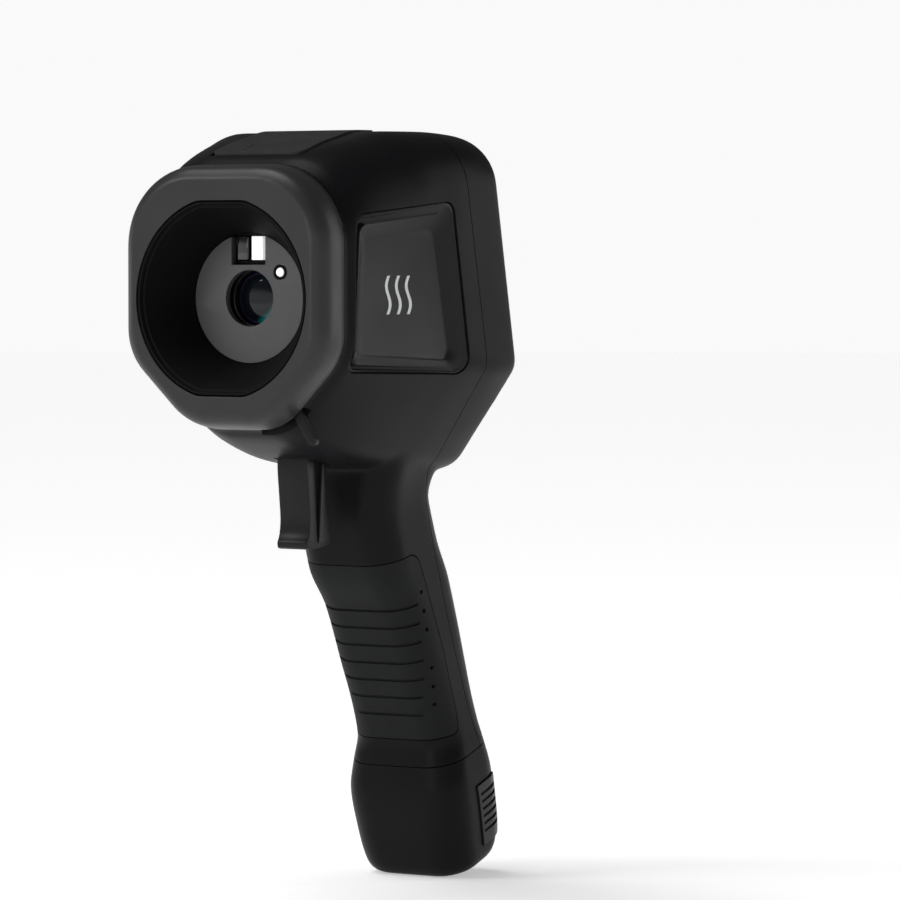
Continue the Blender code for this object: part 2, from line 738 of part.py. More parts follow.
        profile = [(0.0, -48.6), (3.0, -48.5), (5.6, -48.2), (LENS_R, -47.4),
                   (LENS_R, -44.6), (0.0, -44.6)]
        lens = turned("ir_lens", profile, t)
        self.keep(lens, "ir_lens", (0.03, 0.05, 0.06), 0.08, 0.6)
        barrel = disc("lens_barrel", BARREL_R, -49.0, -30.0, t)
        boolean(barrel, disc("c", LENS_R + GAP, -50, -29, t))
        self.keep(barrel, "lens_barrel", (0.015, 0.015, 0.016), 0.4, 0.8)

        frame = lens_box("lens_frame", (-25, -44.6, -31), (25, -42.6, 23), t)
        boolean(frame, disc("c", BARREL_R + GAP, -50, -40, t))
        boolean(frame, disc("c", 1.5, -56.0, -43.6, t, LENS, SHUTTER_PIVOT, 24), "UNION")
        boolean(frame, lens_box("c", (left + 0.3, -47, low + 0.4), (right - 0.3, -40, 30), t))
        self.keep(frame, "lens_frame", (0.25, 0.25, 0.26), 0.45, 0.9)

        block = lens_box("optics_block", (left + 0.6, -50.9, low + 0.5), (right - 0.6, -38.0, 20.4), t)
        boolean(block, disc("c", BARREL_R + GAP, -49.3, -30.0, t))
        boolean(block, lens_box("c", (left + 1.3, -55, low + 1.2), (-1.0, -49.6, 19.6), t))
        boolean(block, lens_box("c", (-0.2, -55, low + 1.2), (right - 1.3, -49.6, 19.6), t))
        self.keep(block, "optics_block", (0.02, 0.02, 0.02), 0.6)
        window = lens_box("visual_window", (left + 1.6, -52.6, low + 1.5), (-1.3, -49.9, 19.3), t)
        self.keep(window, "visual_window", (0.01, 0.01, 0.012), 0.05)
        lamp = lens_box("lamp_window", (0.1, -52.6, low + 1.5), (right - 1.6, -49.9, 19.3), t)
        self.keep(lamp, "lamp_window", (0.9, 0.9, 0.88), 0.2)
        emitter = disc("emitter_window", EMITTER_R, -54.0, -49.4, t, LENS, EMITTER, 24)
        self.keep(emitter, "emitter_window", (0.85, 0.85, 0.85), 0.2)

        core = lens_box("sensor_core", (-11.5, -26.0, -11.5), (11.5, -14.2, 11.5), t)
        self.keep(core, "sensor_core", (0.45, 0.45, 0.46), 0.35, 0.9)
        board = lens_box("sensor_board", (-20, -13.8, -20), (20, -12.4, 20), t)
        self.keep(board, "sensor_board", (0.02, 0.10, 0.05), 0.5)

    def shutter(self):
        t = self.tools
        px, pz = SHUTTER_PIVOT
        pivot = (px, -50.2, LENS_Z + pz)
        a = math.atan2(-pz, -px) + SHUTTER_OPEN
        reach = math.hypot(px, pz)
        centre = (px + reach * math.cos(a), pz + reach * math.sin(a))
        blade = disc("shutter_blade", BLADE_R, -50.6, -49.8, t, LENS, centre)
        boolean(blade, prism("c", bar_outline((px, pz), centre, 3.2), -50.6, -49.8, LENS, t), "UNION")
        boolean(blade, disc("c", 1.58, -60, -40, t, LENS, (px, pz), 24))
        self.keep(blade, "shutter_blade", (0.03, 0.03, 0.032), 0.4, 0.6, pivot)
        lever = disc("shutter_lever", 3.2, -55.4, -50.9, t, LENS, (px, pz), 24)
        tip = (px + 10.0, pz - 16.0)
        boolean(lever, prism("c", bar_outline((px, pz), tip, 1.5), -55.4, -53.3, LENS, t), "UNION")
        boolean(lever, disc("c", 1.58, -60, -40, t, LENS, (px, pz), 24))
        self.keep(lever, "shutter_lever", (0.05, 0.05, 0.052), 0.5, 0.0, pivot)

        flag_pivot = (16.0, -16.0)
        swing = math.radians(50.0)
        a = math.atan2(-flag_pivot[1], -flag_pivot[0]) + swing
        reach = math.hypot(*flag_pivot)
        centre = (flag_pivot[0] + reach * math.cos(a), flag_pivot[1] + reach * math.sin(a))
        at = (flag_pivot[0], -28.3, LENS_Z + flag_pivot[1])
        flag = disc("calibration_flag", 9.0, -28.6, -28.0, t, LENS, centre, 32)
        boolean(flag, prism("c", bar_outline(flag_pivot, centre, 2.2), -28.6, -28.0, LENS, t), "UNION")
        self.keep(flag, "calibration_flag", (0.02, 0.02, 0.02), 0.7, 0.3, at)
        motor = disc("flag_motor", 3.6, -27.7, -19.0, t, LENS, flag_pivot, 28)
        self.keep(motor, "flag_motor", (0.5, 0.5, 0.5), 0.3, 0.9)

    # roof, sides and trigger ------------------------------------------------
    def fittings(self):
        t = self.tools
        for side, name in ((1, "side_panel_left"), (-1, "side_panel_right")):
            panel = pocket_solid(name, side, GAP, GAP, GAP + PANEL_T, t)
            self.keep(panel, name, (0.035, 0.035, 0.037), 0.55)

        cover = box("connector_cover", (-COVER_HALF, COVER_FRONT, SHELF_Z),
                    (COVER_HALF, COVER_REAR, ABOVE), t)
        boolean(cover, head_solid("c", 0.6, t), "INTERSECT")
        boolean(cover, head_solid("c", -1.5, t))
        self.keep(cover, "connector_cover", (0.06, 0.06, 0.062), 0.7, 0.0,
                  (0.0, COVER_REAR, HEIGHT))
        socket = box("usb_socket", (-4.7, -33.4, HEIGHT - 15.55), (4.7, -24.6, HEIGHT - 6.35), t)
        boolean(socket, prism("c", rounded_box(7.0, 3.0, 1.4, (0, -29.0)), HEIGHT - 12.55, ABOVE,
                              PLAIN, t))
        self.keep(socket, "usb_socket", (0.55, 0.55, 0.56), 0.3, 1.0)

        sleeve = self.sleeve_solid("grip_sleeve", 0.0, -1.4, 0.0)
        self.keep(sleeve, "grip_sleeve", (0.018, 0.018, 0.019), 0.8)

        y, z = TRIGGER_PIVOT
        trigger = side_prism("trigger", TRIGGER, -TRIGGER_HALF, TRIGGER_HALF, t)
        boolean(trigger, disc("c", PIN_R + 0.05, -12.0, 12.0, t, SIDE, (y, z), 24))
        self.keep(trigger, "trigger", (0.03, 0.03, 0.032), 0.5, 0.0, (0.0, y, z))
        pin = disc("trigger_pin", PIN_R, -9.4, 9.4, t, SIDE, (y, z), 24)
        self.keep(pin, "trigger_pin", (0.6, 0.6, 0.6), 0.3, 1.0)
        switch = box("trigger_switch", (-4.0, -13.2, z - 4.5), (4.0, -7.4, z + 3.5), t)
        boolean(switch, box("c", (-1.4, -14.0, z - 1.5), (1.4, -13.0, z + 0.5), t), "UNION")
        self.keep(switch, "trigger_switch", (0.03, 0.03, 0.03), 0.5)

    # electronics and display ------------------------------------------------
    def electronics(self):
        t = self.tools
        board = box("main_board", (-27, -6.0, HEIGHT - 83.95), (27, -4.4, HEIGHT - 15.95), t)
        self.keep(board, "main_board", (0.02, 0.10, 0.05), 0.5)
        shield = box("board_chips", (-25, -4.1, HEIGHT - 81.95), (25, -3.5, HEIGHT - 23.95), t)
        for x, up, w, h in ((-14, -5, 16, 16), (8, 9, 12, 12), (14, -13, 9, 7),
                            (-16, 17, 8, 12), (-6, -23, 20, 5)):
            z = LENS_Z + up
            chip = box("c", (x - w / 2, -3.8, z - h / 2), (x + w / 2, -2.2, z + h / 2), t)
            boolean(shield, chip, "UNION")
        self.keep(shield, "board_chips", (0.015, 0.015, 0.015), 0.4)

        module = box("display_module", (-35.5, -26.4, -11.6), (35.5, 29.0, -6.4), t,
                     DISPLAY)
        self.keep(module, "display_module", (0.5, 0.5, 0.52), 0.3, 0.9)
        keys = prism("keypad_board", [(30, -29.2), (30, -35), (18.5, -49), (-18.5, -49),
                                      (-30, -35), (-30, -29.2)], -7.8, -6.6, DISPLAY, t)
        self.keep(keys, "keypad_board", (0.02, 0.10, 0.05), 0.5)

        low, high = -GLASS_DEPTH + GAP, -GLASS_DEPTH + GAP + GLASS_T
        glass = prism("display_bezel", rounded(GLASS, GLASS_RADII, 6), low, high, DISPLAY, t)
        boolean(glass, prism("c", rounded_box(SCREEN_W + 0.6, SCREEN_H + 0.6, 1.6, (0, SCREEN_U)),
                             -8, 4, DISPLAY, t))
        for side in (-1, 1):
            boolean(glass, prism("c", key_outline(side, GAP), -8, 4, DISPLAY, t))
        boolean(glass, prism("c", rounded_box(NAV_W + 1.2, NAV_H + 1.2, 4.0, (0, NAV_U)),
                             -8, 4, DISPLAY, t))
        boolean(glass, disc("c", POWER_R + GAP, -8.0, 4.0, t, DISPLAY, (POWER_X, POWER_U), 24))
        self.keep(glass, "display_bezel", (0.008, 0.008, 0.009), 0.08)
        screen = prism("screen", rounded_box(SCREEN_W, SCREEN_H, 1.3, (0, SCREEN_U)),
                       low, high, DISPLAY, t)
        self.keep(screen, "screen", (0.01, 0.01, 0.20), 0.06)
        plate = prism("name_plate", [(9.7, BADGE_U + 2.7), (8.0, BADGE_U - 2.7),
                                     (-8.0, BADGE_U - 2.7), (-9.7, BADGE_U + 2.7)],
                      high + GAP, high + 0.8, DISPLAY, t)
        self.keep(plate, "name_plate", (0.35, 0.38, 0.40), 0.35, 0.6)

        top = high + KEY_RISE
        for side, name in ((1, "archive_key"), (-1, "back_key")):
            key = prism(name, key_outline(side, 0.0), -4.9, top, DISPLAY, t)
            self.keep(key, name, (0.03, 0.03, 0.032), 0.45)
        pad = prism("nav_pad", rounded_box(NAV_W, NAV_H, 3.6, (0, NAV_U)), -3.4, top + 0.5,
                    DISPLAY, t)
        boolean(pad, prism("c", rounded_box(SELECT_W + 1.2, SELECT_W + 1.2, 2.2, (0, NAV_U)),
                           -8, 4, DISPLAY, t))
        self.keep(pad, "nav_pad", (0.025, 0.025, 0.027), 0.35, 0.0, display_point(0, NAV_U, -4.8))
        ring = prism("nav_carrier", rounded_box(NAV_W - 1.0, NAV_H - 1.0, 3.2, (0, NAV_U)), -5.4, -4.2,
                     DISPLAY, t)
        boolean(ring, prism("c", rounded_box(SELECT_W + 1.8, SELECT_W + 1.8, 2.4, (0, NAV_U)),
                            -8, 4, DISPLAY, t))
        self.keep(ring, "nav_carrier", (0.2, 0.2, 0.2), 0.4, 0.5, display_point(0, NAV_U, -4.8))
        select = prism("select_key", rounded_box(SELECT_W, SELECT_W, 1.8, (0, NAV_U)), -4.9, top + 0.2,
                       DISPLAY, t)
        self.keep(select, "select_key", (0.03, 0.03, 0.032), 0.4)
        power = disc("power_key", POWER_R, -4.9, top, t, DISPLAY, (POWER_X, POWER_U), 24)
        self.keep(power, "power_key", (0.02, 0.02, 0.022), 0.4)
        light = disc("power_light", 1.7, top + GAP, top + 0.6, t, DISPLAY, (POWER_X, POWER_U), 24)
        self.keep(light, "power_light", (0.9, 0.9, 0.9), 0.3)

    # battery ----------------------------------------------------------------
    def battery(self):
        t = self.tools
        case = grip_solid("battery_case", 0.0, t, None, BATTERY_SEAM - GAP / 2)
        tower = prism("c", tower_outline(0.0), 30.0, TOWER_TOP, HANDLE, t)
        boolean(case, tower, "UNION")
        bore = tower_outline(TOWER_WALL)
        boolean(case, prism("c", bore, 4.0, TOWER_TOP + 4, HANDLE, t))
        for side in (-1, 1):
            boolean(case, box("c", (side * 16.3, LATCH_V - LATCH_W / 2 - GAP, LATCH_S - LATCH_L / 2 - GAP),
                              (side * 30.0, LATCH_V + LATCH_W / 2 + GAP, LATCH_S + LATCH_L / 2 + GAP),
                              t, HANDLE))
        boolean(case, disc("c", 0.95, -2.0, 3.0, t, HANDLE, (0.0, 6.0), 16))
        self.keep(case, "battery_case", self.black, 0.6)
        cell = tower_outline(TOWER_WALL + GAP)
        self.keep(prism("battery_cells", cell, 4.6, CELL_TOP, HANDLE, t), "battery_cells",
                  (0.05, 0.12, 0.35), 0.4)
        self.keep(prism("battery_contacts", cell, CELL_TOP + 0.4, TOWER_TOP + 0.4, HANDLE, t),
                  "battery_contacts", (0.75, 0.6, 0.25), 0.3, 1.0)
        light = disc("charge_light", 0.8, 0.1, 2.7, t, HANDLE, (0.0, 6.0), 16)
        self.keep(light, "charge_light", (0.8, 0.8, 0.8), 0.4)
        for side, name in ((1, "latch_left"), (-1, "latch_right")):
            latch = grip_solid(name, 0.5, t, LATCH_S - LATCH_L / 2, LATCH_S + LATCH_L / 2)
            boolean(latch, box("c", (side * 18.2, LATCH_V - LATCH_W / 2, LATCH_S - 30),
                               (side * 40.0, LATCH_V + LATCH_W / 2, LATCH_S + 30),
                               t, HANDLE), "INTERSECT")
            self.keep(latch, name, (0.03, 0.03, 0.032), 0.6)
        dock = box("dock_contacts", (-9.0, -3.0, TOWER_TOP + 2.2), (9.0, 10.0, TOWER_TOP + 7.0),
                   t, HANDLE)
        self.keep(dock, "dock_contacts", (0.75, 0.6, 0.25), 0.3, 1.0)
        board = box("grip_board", (-10.0, 8.0, TOWER_TOP + 9.0), (10.0, 9.2, GRIP_LENGTH - 14.0), t, HANDLE)
        self.keep(board, "grip_board", (0.02, 0.10, 0.05), 0.5)


def main():
    clear_scene()
    builder = Builder()
    builder.housings()
    builder.front()
    builder.shutter()
    builder.fittings()
    builder.electronics()
    builder.battery()


main()
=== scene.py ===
import json
import math

import bmesh
import bpy
import numpy as np
from bpy.props import FloatProperty, FloatVectorProperty, IntProperty, PointerProperty
from mathutils import Matrix, Vector
from mathutils.bvhtree import BVHTree


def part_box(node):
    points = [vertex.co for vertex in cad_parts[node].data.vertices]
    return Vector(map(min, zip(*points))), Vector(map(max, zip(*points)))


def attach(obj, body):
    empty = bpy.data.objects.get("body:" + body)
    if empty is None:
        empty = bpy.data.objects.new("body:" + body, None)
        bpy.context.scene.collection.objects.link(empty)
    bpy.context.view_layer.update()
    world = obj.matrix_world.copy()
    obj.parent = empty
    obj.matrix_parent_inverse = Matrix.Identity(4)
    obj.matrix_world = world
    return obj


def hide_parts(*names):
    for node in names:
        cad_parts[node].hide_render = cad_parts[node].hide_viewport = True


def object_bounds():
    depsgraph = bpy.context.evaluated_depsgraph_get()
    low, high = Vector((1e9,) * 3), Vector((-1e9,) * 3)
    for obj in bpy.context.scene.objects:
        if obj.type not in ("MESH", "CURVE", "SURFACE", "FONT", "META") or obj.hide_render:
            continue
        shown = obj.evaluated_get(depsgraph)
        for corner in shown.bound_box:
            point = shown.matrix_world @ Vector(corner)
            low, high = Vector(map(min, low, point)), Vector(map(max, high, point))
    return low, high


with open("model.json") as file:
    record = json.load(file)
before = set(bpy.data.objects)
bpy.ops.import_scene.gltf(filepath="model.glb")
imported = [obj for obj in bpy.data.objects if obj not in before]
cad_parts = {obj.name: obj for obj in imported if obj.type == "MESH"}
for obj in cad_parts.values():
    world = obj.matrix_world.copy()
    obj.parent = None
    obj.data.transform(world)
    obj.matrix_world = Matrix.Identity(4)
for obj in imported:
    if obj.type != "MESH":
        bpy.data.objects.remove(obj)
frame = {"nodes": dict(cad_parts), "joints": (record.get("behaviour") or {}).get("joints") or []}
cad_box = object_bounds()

bl_info = {
    "name": "Thermal camera finish",
    "version": (1, 0, 0),
    "blender": (4, 5, 0),
    "location": "View3D > Sidebar > Thermal camera",
    "description": "Finished surfaces of a pistol-grip thermal camera over its frame",
    "category": "Object",
}

# ------------------------------------------------------------------ the frame
# Lengths below are millimetres; a frame's matrix turns them into metres.
MILLI = 0.001
JOINTS = {joint["name"]: joint for joint in frame["joints"]}
GAP = 0.3
HEIGHT = 243.95
NECK_EASE = 0.012        # metres over which the neck's blend sets in


def axes(first, second, third, origin=(0.0, 0.0, 0.0)):
    """Matrix from a frame's millimetres to metres."""
    columns = (first, second, third, origin)
    rows = [[column[row] for column in columns] for row in range(3)]
    return Matrix.Scale(MILLI, 4) @ Matrix(rows + [[0.0, 0.0, 0.0, 1.0]])


ACROSS = Vector((1.0, 0.0, 0.0))
OUT = -Vector(JOINTS["select_press"]["axis"])
UP = Vector((0.0, -OUT.z, OUT.y))
DISPLAY_TAN = OUT.z / OUT.y
ALONG = -Vector(JOINTS["battery_slide"]["axis"])
REARWARD = Vector((0.0, ALONG.z, -ALONG.y))
REAR_Y = 26.5
LEAN_Z = 196.0
BASE = (0.0, 55.6, 3.6)
LENS_Z = sum(corner.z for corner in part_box("ir_lens")) / 2.0 / MILLI
PLAIN = axes(ACROSS, (0.0, 1.0, 0.0), (0.0, 0.0, 1.0))
LENS = axes(ACROSS, (0.0, 0.0, 1.0), (0.0, 1.0, 0.0), (0.0, 0.0, LENS_Z))    # (x, z, y)
SIDE = axes((0.0, 1.0, 0.0), (0.0, 0.0, 1.0), ACROSS)                       # (y, z, x)
DISPLAY = axes(ACROSS, UP, OUT, (0.0, REAR_Y, LEAN_Z))                      # (x, up, out)
HANDLE = axes(ACROSS, REARWARD, ALONG, BASE)                                # (x, across, along)


def span(node, matrix):
    """Lowest and highest corner of a frame node in another frame's millimetres."""
    back = matrix.inverted()
    points = np.array([back @ v.co for v in frame["nodes"][node].data.vertices])
    return points.min(0), points.max(0)


# Sections of the head: y, share of the display's lean, half width, top,
# shoulder, bottom half width, bottom (down from HEIGHT) and three corner radii.
HEAD = [
    (-70.0, 0.00, 33.0, -15.6, -69.5, 13.0, -89.4, 21.0, 17.0, 17.0),
    (-68.4, 0.00, 35.6, -13.2, -70.0, 13.5, -91.4, 23.5, 18.0, 19.0),
    (-64.5, 0.00, 37.4, -11.8, -70.5, 14.0, -93.0, 25.0, 19.0, 20.0),
    (-59.0, 0.02, 37.7, -11.4, -70.5, 14.5, -93.8, 25.0, 19.0, 20.0),
    (-56.0, 0.03, 36.2, -12.4, -70.5, 14.5, -93.6, 24.0, 18.0, 19.0),
    (-52.5, 0.05, 37.8, -9.6, -70.8, 15.5, -96.2, 24.0, 18.0, 18.0),
    (-44.0, 0.10, 39.6, -6.6, -71.2, 17.0, -100.0, 22.0, 16.0, 16.0),
    (-28.0, 0.28, 42.4, -3.0, -72.0, 18.5, -105.0, 21.0, 15.0, 15.0),
    (-12.0, 0.50, 45.0, -0.6, -73.0, 19.5, -107.5, 19.0, 13.0, 14.0),
    (4.0, 0.75, 47.0, -0.5, -74.2, 20.0, -109.0, 17.0, 10.0, 14.0),
    (16.0, 0.95, 47.5, -1.0, -75.2, 20.0, -109.5, 15.5, 9.0, 13.0),
    (24.0, 1.00, 47.2, -2.0, -75.2, 19.8, -108.8, 14.5, 8.5, 12.5),
    (26.5, 1.00, 45.6, -3.6, -74.8, 19.0, -107.0, 13.0, 7.5, 11.5),
]
# Sections of the grip: along, half width, front, rear and two corner radii.
GRIP = [
    (0.0, 17.0, -11.6, 11.6, 9.0, 9.0),
    (1.2, 19.0, -13.6, 14.0, 10.0, 10.0),
    (4.0, 20.4, -15.0, 16.4, 11.0, 11.0),
    (12.0, 21.3, -15.9, 18.2, 11.5, 11.5),
    (22.0, 22.0, -16.0, 18.9, 12.0, 12.0),
    (29.0, 22.2, -15.4, 19.3, 12.0, 12.0),
    (39.0, 21.0, -11.6, 19.6, 11.5, 12.0),
    (46.0, 19.8, -8.6, 19.8, 11.0, 12.0),
    (57.0, 19.0, -9.6, 19.9, 11.0, 12.0),
    (74.0, 18.6, -12.4, 20.0, 11.0, 12.0),
    (95.0, 18.3, -15.8, 19.4, 11.0, 12.0),
    (111.0, 18.2, -21.4, 16.4, 11.0, 12.0),
    (126.0, 18.3, -21.8, 15.6, 11.0, 12.0),
    (134.0, 19.4, -21.4, 21.0, 11.0, 12.0),
    (143.0, 22.0, -19.6, 24.0, 11.0, 12.0),
    (152.0, 25.0, -18.0, 24.0, 11.0, 12.0),
]
WALL = 2.6
SHROUD_Y = -56.0
BATTERY_SEAM = 39.0
TOWER_TOP = 92.0
POCKET = [(-51.5, 217.0), (-7.0, 221.5), (3.5, 166.6), (-52.0, 168.0)]
POCKET_PLATE = [(-47.5, 209.5), (-11.5, 213.2), (-2.4, 171.2), (-49.4, 173.6)]
GLASS = [(44.0, 38.8), (44.0, -31.0), (14.0, -59.0)]
GLASS_RADII = (20.0, 14.0, 12.0)
PANEL_MIDDLE = (-27.7, 192.0)
PANEL_FRONT = -46.0
OPEN = 90.0              # a height over the pocket's floor that never limits
POCKET_R = 4.0
POCKET_START, POCKET_FLOOR, POCKET_FLARE = -51.0, 37.1, 0.075
POCKET_WALL = 2.0
COVER_HALF, COVER_FRONT, COVER_REAR = 17.0, -50.0, -8.0
ROOF_LOW, ROOF_HIGH = 226.0, 250.0
SOCKET_HALF, SOCKET_FRONT, SOCKET_REAR = 5.2, -34.0, -24.0
TRIGGER_HALF, TRIGGER_ROOM = 5.6, 0.5
LEVER_X, LEVER_DROP, LEVER_TURN = 10.0, -16.0, 45.0
TOWER_HALF, TOWER_REAR, TOWER_FRONT, TOWER_WALL = 15.0, 16.0, -5.2, 1.3
EMITTER_AT = (11.4, 8.1)
BEHIND = -8.0            # deeper than every opening in the display
PAD_ROOM = 1.2           # by how much an opening is wider than the pad or key in it
SHARP_EDGE = 30.0        # degrees; edges sharper than this are rounded
FLOOR_R = 9000.0
LIT_POINT = (0.0, 0.0, 0.15)
SKY_STOPS = ((0.0, 0.95), (0.5, 0.95), (0.53, 0.95), (0.58, 0.15), (1.0, 0.08))
KEY_U, KEY_X, KEY_W, KEY_H = -33.3, 21.6, 14.2, 6.6
NAV_U, NAV_W, NAV_H, SELECT_W = -40.8, 20.8, 18.6, 10.2
SCREEN_W, SCREEN_H, SCREEN_U = 69.0, 51.0, 1.1
POWER_AT, POWER_R = (-16.6, -42.6), 3.1
TRIGGER = [(-27.0, 152.0), (-28.4, 146.0), (-29.3, 138.0), (-28.4, 129.0),
           (-27.6, 121.0), (-28.2, 116.0), (-29.4, 113.2), (-27.4, 111.4),
           (-16.5, 112.6), (-15.4, 115.0), (-17.6, 124.0), (-18.6, 134.0),
           (-18.2, 144.0), (-15.6, 152.0)]


# --------------------------------------------------------------- mesh helpers
def rounded_loop(corners, radii, segments=8):
    """Closed outline with each corner rounded by an arc."""
    points = []
    for i, corner in enumerate(corners):
        here = Vector(corner)
        back = (Vector(corners[i - 1]) - here).normalized()
        ahead = (Vector(corners[(i + 1) % len(corners)]) - here).normalized()
        half = back.angle(ahead) / 2.0
        centre = here + (back + ahead).normalized() * (radii[i] / math.sin(half))
        start = here + back * (radii[i] / math.tan(half)) - centre
        end = here + ahead * (radii[i] / math.tan(half)) - centre
        sweep = start.angle_signed(end)
        for k in range(segments + 1):
            point = centre + Matrix.Rotation(-sweep * k / segments, 2) @ start
            points.append((point.x, point.y))
    return points


def mirrored(corners):
    return list(corners) + [(-x, z) for x, z in reversed(corners)]


def mirrored_loop(corners, radii, segments=8):
    return rounded_loop(mirrored(corners), list(radii) + list(reversed(radii)), segments)


def oblong(width, height, radius, at=(0.0, 0.0), segments=6):
    loop = mirrored_loop([(width / 2, height / 2), (width / 2, -height / 2)],
                         [radius, radius], segments)
    return [(x + at[0], z + at[1]) for x, z in loop]


def grown(corners, grow):
    """Right half of a symmetric outline with every edge moved outwards."""
    full = mirrored(corners)
    moved = []
    for i in range(len(corners)):
        lines = []
        for a, b in ((full[i - 1], full[i]), (full[i], full[(i + 1) % len(full)])):
            dx, dz = b[0] - a[0], b[1] - a[1]
            length = math.hypot(dx, dz)
            nx, nz = -dz / length, dx / length
            lines.append((nx, nz, nx * a[0] + nz * a[1] + grow))
        (a1, b1, c1), (a2, b2, c2) = lines
        det = a1 * b2 - a2 * b1
        moved.append(((c1 * b2 - c2 * b1) / det, (a1 * c2 - a2 * c1) / det))
    return moved


def flowing(points, steps=4):
    """Smooth closed curve through the given points."""
    count = len(points)
    made = []
    for i in range(count):
        p = [np.array(points[k % count]) for k in (i - 1, i, i + 1, i + 2)]
        for k in range(steps):
            t = k / steps
            value = 0.5 * (2 * p[1] + (p[2] - p[0]) * t
                           + (2 * p[0] - 5 * p[1] + 4 * p[2] - p[3]) * t * t
                           + (3 * p[1] - p[0] - 3 * p[2] + p[3]) * t ** 3)
            made.append(tuple(value))
    return made


def eased(stations, at):
    """Sections between the given ones, without overshoot."""
    table = np.array(stations)
    x, y = table[:, 0], table[:, 1:]
    h = np.diff(x)[:, None]
    slope = np.diff(y, axis=0) / h
    tangent = np.zeros_like(y)
    tangent[0], tangent[-1] = slope[0], slope[-1]
    same = slope[:-1] * slope[1:] > 0
    w1, w2 = 2 * h[1:] + h[:-1], h[1:] + 2 * h[:-1]
    safe = np.where(same, w1 / np.where(same, slope[:-1], 1) + w2 / np.where(same, slope[1:], 1), 1)
    tangent[1:-1] = np.where(same, (w1 + w2) / safe, 0.0)
    i = min(max(int(np.searchsorted(x, at, side="right")) - 1, 0), len(x) - 2)
    t = (at - x[i]) / h[i][0]
    value = (y[i] * (1 + 2 * t) * (1 - t) ** 2 + y[i + 1] * t * t * (3 - 2 * t)
             + tangent[i] * h[i] * t * (1 - t) ** 2 - tangent[i + 1] * h[i] * t * t * (1 - t))
    return (at, *value)


def new_object(name, work):
    bmesh.ops.recalc_face_normals(work, faces=work.faces)
    mesh = bpy.data.meshes.new(name)
    work.to_mesh(mesh)
    work.free()
    made = bpy.data.objects.new(name, mesh)
    bpy.context.scene.collection.objects.link(made)
    return made


def skin(name, rings, closed=False, matrix=None):
    """Solid through rings with equal counts; closed joins the last to the first."""
    work = bmesh.new()
    matrix = matrix or Matrix.Scale(MILLI, 4)
    loops = [[work.verts.new(matrix @ Vector(p)) for p in ring] for ring in rings]
    pairs = list(zip(loops, loops[1:]))
    if closed:
        pairs.append((loops[-1], loops[0]))
    else:
        work.faces.new(loops[0])
        work.faces.new(loops[-1])
    for low, high in pairs:
        for i in range(len(low)):
            j = (i + 1) % len(low)
            work.faces.new((low[i], low[j], high[j], high[i]))
    return new_object(name, work)


def prism(name, outline, low, high, matrix):
    rings = [[(a, b, depth) for a, b in outline] for depth in (low, high)]
    return skin(name, rings, False, matrix)


def block(name, low, high, matrix=PLAIN):
    (x0, y0, z0), (x1, y1, z1) = low, high
    return prism(name, [(x0, y0), (x1, y0), (x1, y1), (x0, y1)], z0, z1, matrix)


def round_outline(radius, at=(0.0, 0.0), segments=48, flat=None):
    points = []
    for k in range(segments):
        a = 2 * math.pi * (k + 0.5) / segments
        z = radius * math.sin(a)
        if flat is not None:
            z = max(-flat, min(flat, z))
        points.append((at[0] + radius * math.cos(a), at[1] + z))
    return points


def disc(name, radius, low, high, matrix=LENS, at=(0.0, 0.0), segments=48):
    return prism(name, round_outline(radius, at, segments), low, high, matrix)


def turned(name, profile, matrix=LENS, at=(0.0, 0.0), segments=64, closed=False):
    """Profile of (radius, depth) turned about a frame's third axis."""
    rings = []
    for radius, depth in profile:
        rings.append([(a, b, depth) for a, b in round_outline(radius, at, segments)])
    return skin(name, rings, closed, matrix)


def settled(ob):
    """Apply an object's modifiers."""
    bpy.context.view_layer.update()
    graph = bpy.context.evaluated_depsgraph_get()
    mesh = bpy.data.meshes.new_from_object(ob.evaluated_get(graph))
    ob.modifiers.clear()
    ob.data = mesh
    return ob


def cut(target, cutter, how="DIFFERENCE", solver="MANIFOLD"):
    mod = target.modifiers.new("cut", "BOOLEAN")
    mod.operation, mod.solver, mod.object = how, solver, cutter
    settled(target)
    bpy.data.objects.remove(cutter, do_unlink=True)
    if not target.data.polygons:
        raise RuntimeError("a cut left nothing of " + target.name)
    return target


def twin(ob, name):
    made = ob.copy()
    made.data = ob.data.copy()
    made.name = name
    bpy.context.scene.collection.objects.link(made)
    return made


def soften(ob, width, segments=3):
    """Round the sharp edges of a piece."""
    mod = ob.modifiers.new("edge", "BEVEL")
    mod.width, mod.segments = width * MILLI, segments
    mod.limit_method, mod.angle_limit = "ANGLE", math.radians(SHARP_EDGE)
    return settled(ob)


def piece(ob, name, body, nodes, finish, sharp=35.0):
    """Name a finished piece and seat it on its body."""
    ob.name = name
    ob.data.name = name
    ob.data.materials.clear()
    ob.data.materials.append(finish)
    ob.data.shade_smooth()
    ob.data.set_sharp_from_angle(angle=math.radians(sharp))
    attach(ob, body)
    if nodes:
        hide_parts(*nodes)
    return ob


